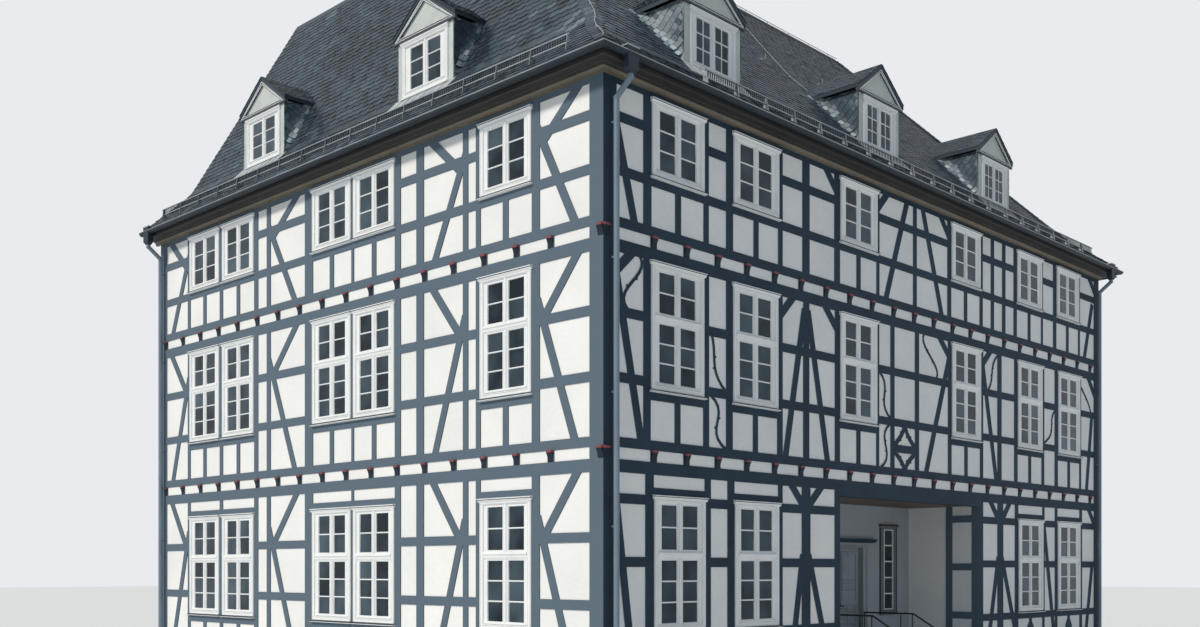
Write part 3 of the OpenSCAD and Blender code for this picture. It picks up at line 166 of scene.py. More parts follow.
@dataclass(frozen=True)
class Finish(Surface):
    """One real finish: its colours, the grain of its surface and how it shines.

    The colour runs between two tones over a broad cloud, and a finer noise marks the surface. The
    noise may be stretched along an axis, as wood grain and trowel marks are. A pale tone lies beyond
    the light one, which on the slates is a painted highlight, and a painted sunlit sheen takes over
    on faces that look to the sunny side.
    """

    light: str
    dark: str
    cloud_m: float = 1.2
    grain_mm: float = 30.0
    stretch: tuple[float, float, float] = (1.0, 1.0, 1.0)
    mottle: float = 0.35
    bump: float = 0.15
    bump_mm: float = 2.0
    roughness: float = 0.6
    roughness_spread: float = 0.1
    metallic: float = 0.0
    ior: float = 1.5
    tone: float = 0.0
    boards_mm: float = 0.0
    pale_and_highlight: str = ""
    sunlit_sheen: str = ""

    def shader(self, tree: Tree, place: Socket) -> bpy.types.Node:
        """Adds cloud, grain, colour ramp, bump and shader.

        Args:
            tree: the material's node tree.
            place: Object coordinates.

        Returns:
            The shader node.
        """
        mapped = add_node(tree, "Mapping", inputs={"Vector": place, "Scale": self.stretch})
        cloud = add_node(tree, "TexNoise", inputs={
            "Vector": place, "Scale": 1 / self.cloud_m, "Detail": 3.0, "Roughness": 0.55})
        grain = add_node(tree, "TexNoise", inputs={
            "Vector": mapped.outputs["Vector"], "Scale": 1000 / self.grain_mm, "Detail": 5.0,
            "Roughness": 0.62})
        mixed = add_node(tree, "Math", {"operation": "MULTIPLY_ADD"}, {
            0: grain.outputs["Fac"], 1: self.mottle,
            2: self._weighted(tree, cloud, 1 - self.mottle)})
        share = mixed.outputs["Value"]
        if self.tone > 0:
            share = self._toned(tree, share)
        ramp = add_node(tree, "ValToRGB", inputs={"Fac": share})
        ramp.color_ramp.elements[0].position = 0.3
        ramp.color_ramp.elements[0].color = linear(self.dark)
        ramp.color_ramp.elements[1].position = 0.7
        ramp.color_ramp.elements[1].color = linear(self.light)
        # A pale tone past the light one, which the slates also use as a painted highlight
        if self.pale_and_highlight:
            ramp.color_ramp.elements.new(1.0).color = linear(self.pale_and_highlight)
        colour = ramp.outputs["Color"]
        # A painted sunlit sheen lightens the colour on faces to the sunny side
        if self.sunlit_sheen:
            colour = self._paint_sunlit_sheen(tree, colour)
        rough = add_node(tree, "MapRange", inputs={
            "Value": share, "To Min": self.roughness - self.roughness_spread,
            "To Max": self.roughness + self.roughness_spread})
        height = grain.outputs["Fac"]
        if self.boards_mm > 0:
            height = self._boards(tree, mapped.outputs["Vector"], height)
        bump = add_node(tree, "Bump", inputs={
            "Strength": self.bump, "Distance": self.bump_mm / 1000, "Height": height})
        return add_node(tree, "BsdfPrincipled", inputs={
            "Base Color": colour, "Metallic": self.metallic, "IOR": self.ior,
            "Roughness": rough.outputs["Result"], "Normal": bump.outputs["Normal"]})

    @staticmethod
    def _weighted(tree: Tree, noise: bpy.types.Node, weight: float) -> Socket:
        """Returns the noise times a weight."""
        times = add_node(tree, "Math", {"operation": "MULTIPLY"}, {0: noise.outputs["Fac"], 1: weight})
        return times.outputs["Value"]

    def _paint_sunlit_sheen(self, tree: Tree, colour: Socket) -> Socket:
        """Mixes in a painted sunlit sheen by how far a face looks along -x, the sunny side of the house.

        Args:
            tree: the material's node tree.
            colour: the colour in the shade.

        Returns:
            The mixed colour.
        """
        split = add_node(tree, "SeparateXYZ", inputs={
            "Vector": add_node(tree, "TexCoord").outputs["Normal"]})
        share = add_node(tree, "MapRange", inputs={
            "Value": split.outputs["X"], "From Min": -0.3, "From Max": -0.9, "To Max": 0.85})
        mix = add_node(tree, "Mix", {"data_type": "RGBA"}, {"Factor": share.outputs["Result"]})
        tree.links.new(colour, mix.inputs["A"])
        mix.inputs["B"].default_value = linear(self.sunlit_sheen)
        return mix.outputs["Result"]

    def _toned(self, tree: Tree, share: Socket) -> Socket:
        """Adds each copy's own tone, which its mesh holds as an attribute, to the colour share.

        Args:
            tree: the material's node tree.
            share: the share of the light tone.

        Returns:
            The share with the tone in it.
        """
        own = add_node(tree, "Attribute", {"attribute_name": "tone"})
        moved = add_node(tree, "Math", {"operation": "MULTIPLY_ADD"}, {
            0: own.outputs["Fac"], 1: self.tone, 2: share})
        return moved.outputs["Value"]

    def _boards(self, tree: Tree, vector: Socket, height: Socket) -> Socket:
        """Adds the joints between boards to the height, as grooves a board apart along x.

        Args:
            tree: the material's node tree.
            vector: the stretched coordinates.
            height: the height of the grain.

        Returns:
            The height with a groove at each joint.
        """
        split = add_node(tree, "SeparateXYZ", inputs={"Vector": vector})
        wave = add_node(tree, "Math", {"operation": "PINGPONG"}, {
            0: split.outputs["X"], 1: self.boards_mm / 2000})
        edge = add_node(tree, "MapRange", inputs={
            "Value": wave.outputs["Value"], "From Max": 0.004, "To Min": 0.0, "To Max": 1.0})
        joined = add_node(tree, "Math", {"operation": "MULTIPLY_ADD"}, {
            0: edge.outputs["Result"], 1: 3.0, 2: height})
        return joined.outputs["Value"]


# Oak beams under dark blue oil paint, dull, grain just showing; sunny-side faces get a painted sunlit
# sheen
OAK = Finish("oil_painted_oak", "#2c4153", "#1b2935", cloud_m=0.9, grain_mm=22, stretch=(1, 1, 0.35),
             bump=0.35, bump_mm=3, roughness=0.7, ior=1.3, sunlit_sheen="#5d6e7c")
# Lime plaster under white limewash: matt, with slow trowel waves and faint greying
PLASTER = Finish("limewashed_plaster", "#eff0ef", "#dde0e1", cloud_m=1.6, grain_mm=70, bump=0.25,
                 bump_mm=4, roughness=0.88, roughness_spread=0.04)
# Smooth plaster of the porch, matt and even: darkened and cooled grey-blue as painted shade in the porch
PORCH_PLASTER = Finish("porch_plaster_painted_shade", "#a4acb3", "#929aa1", cloud_m=1.4, grain_mm=40,
                       bump=0.15, bump_mm=2, roughness=0.9, roughness_spread=0.03)
# Dressed sandstone: grey-brown, gritty and matt
STONE = Finish("dressed_sandstone", "#a09a91", "#7f7a73", cloud_m=0.5, grain_mm=9, mottle=0.55,
               bump=0.6, bump_mm=3, roughness=0.92, roughness_spread=0.05)
# Split slate: dark blue-grey, each stone of its own tone, silky; its palest tone is painted highlight
SLATE = Finish("split_slate", "#46545f", "#1d2730", cloud_m=2.4, grain_mm=45, mottle=0.3, bump=0.5,
               bump_mm=3, roughness=0.5, roughness_spread=0.12, ior=1.26, tone=0.5, pale_and_highlight="#aab7be")
# Softwood window frames under off-white gloss enamel: smooth brush marks, soft shine
WINDOW_PAINT = Finish("enamelled_softwood", "#eef1f2", "#e0e4e6", cloud_m=0.6, grain_mm=14,
                      stretch=(1, 1, 0.3), bump=0.12, bump_mm=1, roughness=0.38)
# Planed softwood eaves boards under dark brown glaze: matt with grain along the boards
# Their brown is darkened as painted shade for the shadow under the eaves
EAVES_BOARD = Finish("glazed_softwood", "#302f2e", "#201f20", cloud_m=0.8, grain_mm=26,
                     stretch=(0.3, 0.3, 1), bump=0.3, bump_mm=2, roughness=0.7)
# Panelled oak door under grey-blue oil paint: satin, faint brush marks
DOOR_PAINT = Finish("oil_painted_door", "#8b969d", "#77838b", cloud_m=0.7, grain_mm=16,
                    stretch=(1, 1, 0.25), bump=0.2, bump_mm=1.5, roughness=0.5)
# Sawn oak floorboards, oiled: warm brown with narrow joints
FLOOR_BOARDS = Finish("oiled_oak_boards", "#9a7f60", "#705a43", cloud_m=0.7, grain_mm=18,
                      stretch=(1, 0.2, 1), bump=0.4, bump_mm=2, roughness=0.6, boards_mm=180)
# Rolled zinc under dark blue-grey paint on gutters and pipes: low metallic shine, smooth
# The same dark zinc is used for strips of painted shade at the windows
ZINC = Finish("painted_zinc_sheet", "#2f3a43", "#222b33", cloud_m=0.8, grain_mm=30, bump=0.08,
              bump_mm=1, roughness=0.5, ior=1.3)
# Rolled zinc under pale blue-grey paint on the pipes: satin
PIPE_ZINC = Finish("painted_zinc_pipe", "#77899a", "#627381", cloud_m=0.8, grain_mm=30, bump=0.06,
                   bump_mm=1, roughness=0.4)
# Softwood gable mouldings of the dormers under pale green-grey oil paint: satin
GABLE_PAINT = Finish("oil_painted_gable", "#c9d0cd", "#adb6b4", cloud_m=0.5, grain_mm=14,
                     stretch=(1, 1, 0.3), bump=0.12, bump_mm=1, roughness=0.5)
# The same gable's raking mouldings under dark blue-grey oil paint: satin
VERGE_PAINT = Finish("oil_painted_verge", "#46525a", "#313b42", cloud_m=0.5, grain_mm=14,
                     stretch=(1, 1, 0.3), bump=0.12, bump_mm=1, roughness=0.55)
# Door frame of oak under pale grey oil paint: satin
FRAME_PAINT = Finish("oil_painted_door_frame", "#969fa4", "#838c92", cloud_m=0.7, grain_mm=16,
                     stretch=(1, 1, 0.25), bump=0.15, bump_mm=1.5, roughness=0.5)
# Moulded oak beam ends under blue oil paint: satin, darker than the oak as painted shade under the sills
END_PAINT = Finish("oil_painted_beam_end", "#24323f", "#15202a", cloud_m=0.4, grain_mm=14, bump=0.2,
                   bump_mm=1.5, roughness=0.6, ior=1.3)
# Iron-red oil paint on the top fillets of the beam ends: satin, a little worn
RED_PAINT = Finish("oil_painted_red", "#86424a", "#652f36", cloud_m=0.3, grain_mm=12, bump=0.15,
                   bump_mm=1, roughness=0.55)
# Bare weathered zinc on flashings and cover strips: pale grey and dull; on rims a painted highlight
BARE_ZINC_AND_HIGHLIGHT = Finish("weathered_zinc_and_highlight", "#a3abb0", "#7e868c", cloud_m=0.5, grain_mm=20, bump=0.15,
                   bump_mm=1, roughness=0.5, metallic=0.6)
# Sheet lead, weathered to a pale grey skin: soft shine, dents
LEAD = Finish("weathered_lead", "#c3c9cc", "#989ea2", cloud_m=0.3, grain_mm=18, bump=0.3,
              bump_mm=3, roughness=0.45, metallic=0.3)
# Crown mouldings of the eaves under ochre-grey oil paint
EAVES_TRIM = Finish("oil_painted_moulding", "#7a7363", "#5c574d", cloud_m=0.8, grain_mm=26,
                    stretch=(0.3, 0.3, 1), bump=0.2, bump_mm=1.5, roughness=0.62)
# Dark oil paint on the narrow window surrounds: satin
PORCH_TRIM = Finish("oil_painted_surround", "#6c777d", "#566066", cloud_m=0.5, grain_mm=14,
                    stretch=(1, 1, 0.3), bump=0.1, bump_mm=1, roughness=0.5)
# Forged iron under black-grey micaceous paint: dark, finely rough
IRON = Finish("painted_forged_iron", "#33373a", "#212426", cloud_m=0.4, grain_mm=8, bump=0.4,
              bump_mm=1, roughness=0.55, metallic=0.2)
# Boarded porch ceiling under clear glaze, darkened: dull brown
CEILING_BOARD = Finish("clear_glazed_boards", "#6d6156", "#544a42", cloud_m=0.8, grain_mm=20,
                       stretch=(0.3, 1, 1), bump=0.3, bump_mm=2, roughness=0.65, boards_mm=140)


@dataclass(frozen=True)
class PaneGlass(Surface):
    """Drawn window glass in front of a dark room: a dark mirror with the slow waves of old panes.

    Each pane's own tone, which its mesh holds as an attribute, moves the colour of its body between
    the dark room and a grey-blue that is a painted reflection of the sky.
    """

    name: str = "drawn_glass"
    wave_mm: float = 420.0
    roughness: float = 0.04
    ior: float = 1.52

    def shader(self, tree: Tree, place: Socket) -> bpy.types.Node:
        """Adds a dark body whose normal sways a little across each pane.

        Args:
            tree: the material's node tree.
            place: Object coordinates.

        Returns:
            The shader node.
        """
        sway = add_node(tree, "TexNoise", inputs={
            "Vector": place, "Scale": 1000 / self.wave_mm, "Detail": 1.0})
        bump = add_node(tree, "Bump", inputs={
            "Strength": 0.12, "Distance": 0.02, "Height": sway.outputs["Fac"]})
        own = add_node(tree, "Attribute", {"attribute_name": "tone"})
        shade = add_node(tree, "TexNoise", inputs={"Vector": place, "Scale": 1.1, "Detail": 2.0})
        both = add_node(tree, "Math", {"operation": "MULTIPLY_ADD"}, {
            0: own.outputs["Fac"], 1: 0.22, 2: shade.outputs["Fac"]})
        # The body runs from the dark room to a grey-blue of painted sky reflection
        ramp = add_node(tree, "ValToRGB", inputs={"Fac": both.outputs["Value"]})
        ramp.color_ramp.elements[0].position = 0.3
        ramp.color_ramp.elements[0].color = linear("#10181f")
        ramp.color_ramp.elements[1].position = 0.8
        ramp.color_ramp.elements[1].color = linear("#475761")
        return add_node(tree, "BsdfPrincipled", inputs={
            "Base Color": ramp.outputs["Color"], "Roughness": self.roughness, "IOR": self.ior,
            "Specular IOR Level": 0.3, "Specular Tint": linear("#a8c4dc"),
            "Normal": bump.outputs["Normal"]})


GLASS = PaneGlass()

# Which finish each CAD node gets
DRESS: dict[str, Surface] = {
    "plinth": STONE, "entrance_steps": STONE, "stair_treads": STONE,
    "ground_floor": FLOOR_BOARDS, "first_floor": FLOOR_BOARDS, "second_floor": FLOOR_BOARDS,
    "attic_floor": FLOOR_BOARDS, "porch_ceiling": CEILING_BOARD,
    "porch_side_walls": PLASTER, "porch_windows": PORCH_TRIM, "porch_back_left": PORCH_PLASTER,
    "porch_back_right": PORCH_PLASTER, "porch_back_over": PORCH_PLASTER,
    "porch_lintel": OAK, "porch_side_frames": OAK,
    "door_frame": FRAME_PAINT, "door_leaf_left": DOOR_PAINT, "door_leaf_right": DOOR_PAINT,
    "door_cornice": OAK, "stair_rails": IRON,
    "eaves": EAVES_BOARD, "gutters": ZINC, "downpipes": PIPE_ZINC, "ridge_caps": SLATE,
    "snow_guards": BARE_ZINC_AND_HIGHLIGHT, "dormer_pediments": VERGE_PAINT,
    "dormer_walls": GABLE_PAINT, "dormer_roofs": SLATE,
}


def finish_of(node: str) -> Surface:
    """Chooses the finish of a CAD node by its name.

    Args:
        node: the node's name.

    Returns:
        Its finish.
    """
    if node in DRESS:
        return DRESS[node]
    if node.endswith("_glass"):
        return GLASS
    if node.endswith("_windows"):
        return WINDOW_PAINT
    if node.endswith("_slope"):
        return SLATE
    if "infill" in node:
        return PLASTER
    return OAK


def dress_nodes() -> None:
    """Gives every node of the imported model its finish."""
    for name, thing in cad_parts.items():
        thing.data.materials.clear()
        thing.data.materials.append(finish_of(name).material())
        LOG.info("dressed %s with %s", name, finish_of(name).name)


class Shell:
    """Gathers closed surfaces as whole arrays, and makes one mesh of them."""

    def __init__(self) -> None:
        """Starts empty."""
        self.points: list[Array] = []
        self.faces: list[Array] = []
        self.tones: list[Array] = []
        self.count = 0

    def add(self, points: Array, faces: Sequence[Array], tone: Array | float = 0.0) -> None:
        """Adds a closed surface, or k copies of it, with the faces turned outwards.

        The signed volume is the sum over each face's fan of a . (b x c) / 6. Where it is negative
        for the first copy, every face is reversed.

        Args:
            points: n points, or k rows of n points, in metres in the shared frame.
            faces: arrays of corner numbers, one row a face, into one copy's points.
            tone: a tone for all, or one for each copy.
        """
        copies = np.asarray(points, float).reshape(-1, np.shape(points)[-2], 3)
        k, n = copies.shape[:2]
        if k == 0:
            return
        first = copies[0] - copies[0].mean(axis=0)
        volume = sum(
            np.einsum("ij,ij->", first[g[:, 0]], np.cross(first[g[:, i]], first[g[:, i + 1]]))
            for g in faces for i in range(1, g.shape[1] - 1))
        shift = (np.arange(k) * n)[:, None, None] + self.count
        for group in faces:
            turned = group if volume > 0 else group[:, ::-1]
            self.faces.append((turned[None] + shift).reshape(-1, group.shape[1]))
        self.points.append(copies.reshape(-1, 3))
        self.tones.append(np.repeat(np.broadcast_to(np.asarray(tone, float), (k,)), n))
        self.count += k * n

    def loft(self, points: Array, sides: int, closed: bool = False, tone: Array | float = 0.0) -> None:
        """Adds rings of points, each joined to the next, or k copies of such a run.

        Args:
            points: the points ring by ring, or k rows of them.
            sides: points in each ring.
            closed: whether the last ring joins the first.
            tone: a tone for all, or one for each copy.
        """
        self.add(points, tube_faces(np.shape(points)[-2] // sides, sides, closed), tone)

    def blocks(self, low: Array, high: Array, facing: "Facing | None" = None,
               tone: Array | float = 0.0) -> None:
        """Adds boxes.

        Args:
            low: lowest corners, one row a box.
            high: highest corners.
            facing: the wall whose (u, z, d) the corners are in, or nothing in the shared frame.
            tone: a tone for all, or one for each box.
        """
        corners = boxes(low, high)
        self.add(corners if facing is None else facing.world(corners), BOX_FACES, tone)

    def bars(self, facing: "Facing", start: Array, stop: Array, at: Array, profile: Array,
             plumb: bool = False) -> None:
        """Adds bars along a wall.

        Args:
            facing: the wall.
            start: where each bar starts.
            stop: where each bar ends.
            at: height of each level bar, or u of each plumb one.
            profile: rows of z, d for a level bar, or u, d for a plumb one.
            plumb: whether the bars stand.
        """
        shape = plumb_bar if plumb else level_bar
        self.loft(facing.world(shape(start, stop, at, profile)), len(profile))

    def frames(self, facing: "Facing", rects: Array, profile: Array) -> None:
        """Adds a mitred moulding round each rectangle on a wall.

        Args:
            facing: the wall.
            rects: rows of u0, z0, u1, z1.
            profile: rows of a, d.
        """
        self.loft(facing.world(frame_ring(rects, profile)), len(profile), closed=True)

    def piece(self, name: str, finish: Surface, slot: Slot, body: str = "house",
              smooth: bool = False) -> bpy.types.Object:
        """Makes the mesh, dresses it and lets it ride on a body.

        Args:
            name: the piece's name.
            finish: its material's maker.
            slot: the record's slot that the finish stands for; not used.
            body: the CAD body that carries it.
            smooth: whether faces are shaded round.

        Returns:
            The new object.
        """
        points = np.concatenate(self.points)
        sizes = np.concatenate([np.full(len(g), g.shape[1]) for g in self.faces])
        mesh = bpy.data.meshes.new(name)
        mesh.vertices.add(len(points))
        mesh.vertices.foreach_set("co", points.ravel())
        mesh.loops.add(int(sizes.sum()))
        mesh.loops.foreach_set("vertex_index", np.concatenate([g.ravel() for g in self.faces]))
        mesh.polygons.add(len(sizes))
        mesh.polygons.foreach_set("loop_start", np.concatenate([[0], np.cumsum(sizes)[:-1]]))
        mesh.polygons.foreach_set("use_smooth", np.full(len(sizes), smooth))
        tone = mesh.attributes.new("tone", "FLOAT", "POINT")
        tone.data.foreach_set("value", np.concatenate(self.tones))
        mesh.update(calc_edges=True)
        mesh.validate()
        mesh.materials.append(finish.material())
        thing = bpy.data.objects.new(name, mesh)
        bpy.context.scene.collection.objects.link(thing)
        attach(thing, body)
        LOG.info("%s: %d faces on %s", name, len(sizes), body)
        return thing


def tube_faces(rings: int, sides: int, closed: bool = False) -> list[Array]:
    """Numbers the faces between rings of points, with flat ends where the run isn't closed.

    Args:
        rings: how many rings.
        sides: points in each ring.
        closed: whether the last ring joins the first.

    Returns:
        The quads, and the two end faces of an open run.
    """
    ring = np.arange(rings if closed else rings - 1)[:, None]
    side = np.arange(sides)[None, :]
    after = (ring + 1) % rings * sides
    turn = (side + 1) % sides
    quads = np.stack([ring * sides + side, ring * sides + turn, after + turn, after + side], -1)
    found = [quads.reshape(-1, 4)]
    if not closed:
        found.append(np.stack([np.arange(sides)[::-1], np.arange(sides) + (rings - 1) * sides]))
    return found


BOX_FACES = [np.array([[0, 1, 3, 2], [4, 6, 7, 5], [0, 4, 5, 1], [2, 3, 7, 6], [0, 2, 6, 4],
                       [1, 5, 7, 3]])]


def boxes(low: Array, high: Array) -> Array:
    """Gives the eight corners of each box: every mix of its low and high coordinates.

    Args:
        low: lowest corners, one row a box.
        high: highest corners.

    Returns:
        Corners, eight rows for each box.
    """
    low, high = np.atleast_2d(low), np.atleast_2d(high)
    pick = np.array([[i >> 2 & 1, i >> 1 & 1, i & 1] for i in range(8)], bool)
    return np.where(pick[None], high[:, None], low[:, None])


def circle(radius: float, sides: int, start: float = 0.0) -> Array:
    """Gives points evenly round a circle: (r cos a, r sin a)."""
    angle = start + np.arange(sides) * 2 * math.pi / sides
    return radius * np.stack([np.cos(angle), np.sin(angle)], -1)


def tube(path: Array, radius: Array | float, sides: int = 8, lean: Array = UP) -> Array:
    """Carries a circle along a path: centre + r cos(a) side + r sin(a) rise.

    The side is the path's direction crossed with a leaning vector, and the rise is square to both.

    Args:
        path: points of the middle line.
        radius: one radius, or one for each point.
        sides: points round the circle.
        lean: a vector that the path never runs along.

    Returns:
        The points, ring by ring.
    """
    path = np.asarray(path, float)
    ahead = np.gradient(path, axis=0)
    ahead /= np.linalg.norm(ahead, axis=1, keepdims=True)
    side = np.cross(ahead, lean)
    side /= np.linalg.norm(side, axis=1, keepdims=True)
    rise = np.cross(side, ahead)
    ring = circle(1.0, sides)
    reach = np.broadcast_to(radius, (len(path),))[:, None, None]
    round_it = ring[None, :, :1] * side[:, None] + ring[None, :, 1:] * rise[:, None]
    return (path[:, None] + reach * round_it).reshape(-1, 3)


@dataclass(frozen=True)
class Facing:
    """A wall's own directions: u to the right seen from outside, z up and d out of the wall."""

    origin: tuple[float, float, float]
    out: tuple[float, float, float]

    @property
    def along(self) -> Array:
        """The wall's direction to the right."""
        return np.cross(UP, self.out)

    def world(self, local: Array) -> Array:
        """Turns (u, z, d) into the shared frame: origin + u along + z up + d out."""
        local = np.asarray(local, float)
        return (np.array(self.origin) + local[..., :1] * self.along + local[..., 1:2] * UP
                + local[..., 2:] * np.array(self.out))


def frame_ring(rects: Array, profile: Array) -> Array:
    """Carries a profile round rectangles with mitred corners.

    A profile point (a, d) lies a outside the rectangle and d out of the wall, so the corners are
    (u0 - a, z0 - a), (u1 + a, z0 - a), (u1 + a, z1 + a) and (u0 - a, z1 + a).

    Args:
        rects: rows of u0, z0, u1, z1.
        profile: rows of a, d.

    Returns:
        Local points of each closed ring, one row a rectangle.
    """
    rects = np.atleast_2d(rects)
    corner = rects[:, [[0, 1], [2, 1], [2, 3], [0, 3]]]
    push = np.array([[-1, -1], [1, -1], [1, 1], [-1, 1]], float)
    flat = corner[:, :, None] + push[None, :, None] * profile[None, None, :, :1]
    deep = np.broadcast_to(profile[None, None, :, 1:], flat.shape[:3] + (1,))
    return np.concatenate([flat, deep], -1).reshape(len(rects), -1, 3)


def level_bar(u0: Array, u1: Array, z: Array, profile: Array) -> Array:
    """Carries a profile of (z, d) from u0 to u1 at each height.

    Args:
        u0: where each bar starts.
        u1: where each bar ends.
        z: height of each bar's zero.
        profile: rows of z, d.

    Returns:
        Local points, one row a bar.
    """
    ends = np.stack(np.broadcast_arrays(u0, u1, z), -1).reshape(-1, 3)
    u = np.repeat(ends[:, :2, None], len(profile), axis=2)
    high = ends[:, 2][:, None, None] + profile[None, None, :, 0] + 0 * u
    deep = profile[None, None, :, 1] + 0 * u
    return np.stack([u, high, deep], -1).reshape(len(ends), -1, 3)


def plumb_bar(z0: Array, z1: Array, u: Array, profile: Array) -> Array:
    """Carries a profile of (u, d) up from z0 to z1 at each place along the wall."""
    turned = level_bar(z0, z1, u, profile)
    return turned[..., [1, 0, 2]]


def islands(node: str) -> Array:
    """Finds the separate solids of a CAD node.

    Corners at one place are one. Each corner starts with its own number and takes the lowest among
    its triangle's, again and again, until nothing changes.

    Args:
        node: the node's name.

    Returns:
        The lowest and highest corner of each solid, of shape (solids, 2, 3), from left to right.
    """
    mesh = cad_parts[node].data
    place = np.empty(len(mesh.vertices) * 3)
    mesh.vertices.foreach_get("co", place)
    mesh.calc_loop_triangles()
    corners = np.empty(len(mesh.loop_triangles) * 3, int)
    mesh.loop_triangles.foreach_get("vertices", corners)
    place = place.reshape(-1, 3)
    _, first, same = np.unique(np.round(place, 4), axis=0, return_index=True, return_inverse=True)
    faces = same.reshape(-1)[corners].reshape(-1, 3)
    label = np.arange(len(first))
    while True:
        low = label[faces].min(axis=1)
        spread = label.copy()
        np.minimum.at(spread, faces, low[:, None])
        if (spread == label).all():
            break
        label = spread
    spots = place[first]
    found = [np.stack([spots[label == n].min(axis=0), spots[label == n].max(axis=0)])
             for n in np.unique(label)]
    return np.array(sorted(found, key=lambda b: (b[0, 0].round(2), b[0, 1].round(2), b[0, 2])))


@dataclass(frozen=True)
class WindowPlace:
    """Where a window is: its facing, with u from its middle and z from its lower edge, and its size."""

    facing: Facing
    width: float
    height: float


# Width of the boards round a window, and how far its glass lies behind the face of the wall
CASING_W = 0.1
GLASS_BACK = 0.047
# How far in from the low sides of the box a pane of a left or front wall can lie, at most
LEFT_DEEP, FRONT_DEEP = 2.5, 4.0


def window_places(node: str) -> list[WindowPlace]:
    """Reads the windows' places off the sheets of glass, which are thin along the way they face.

    Args:
        node: a CAD node of glass.

    Returns:
        One place for each sheet.
    """
    low, found = CAD_BOX[0], []
    for box in islands(node):
        size, middle = box[1] - box[0], box.mean(axis=0)
        if size[0] < size[1]:
            axis, sign = 0, -1.0 if middle[0] < low[0] + LEFT_DEEP else 1.0
        else:
            axis, sign = 1, -1.0 if middle[1] < low[1] + FRONT_DEEP else 1.0
        out = np.zeros(3)
        out[axis] = sign
        origin = middle.copy()
        origin[axis] = box[1 if sign > 0 else 0][axis] + sign * GLASS_BACK
        origin[2] = box[0][2] - CASING_W
        found.append(WindowPlace(Facing(tuple(origin), tuple(out)), size[1 - axis] + 2 * CASING_W,
                                 size[2] + 2 * CASING_W))
    return found


def cove(width: float, depth: float, from_d: float, steps: int = 4) -> Array:
    """A hollow quarter round that falls from one face to a deeper one: a profile of (a, d).

    Points are (-w (1 - cos t), d0 - depth sin t), closed by a corner just outside the opening.

    Args:
        width: how far it reaches into the opening.
        depth: how far it falls.
        from_d: where it starts, out of the wall.
        steps: how many faces follow the curve.

    Returns:
        The closed profile.
    """
    turn = np.linspace(0, math.pi / 2, steps + 1)
    curve = np.stack([-width * (1 - np.cos(turn)), from_d - depth * np.sin(turn)], -1)
    return np.concatenate([curve, [[0.002, from_d - depth]]])


def bead(width: float, height: float, at: float, from_d: float, steps: int = 5) -> Array:
    """A raised half round beside the line: a profile of (at + w/2 cos t, d0 + h sin t)."""
    turn = np.linspace(0, math.pi, steps + 1)
    return np.stack([at + width / 2 * np.cos(turn), from_d + height * np.sin(turn)], -1)


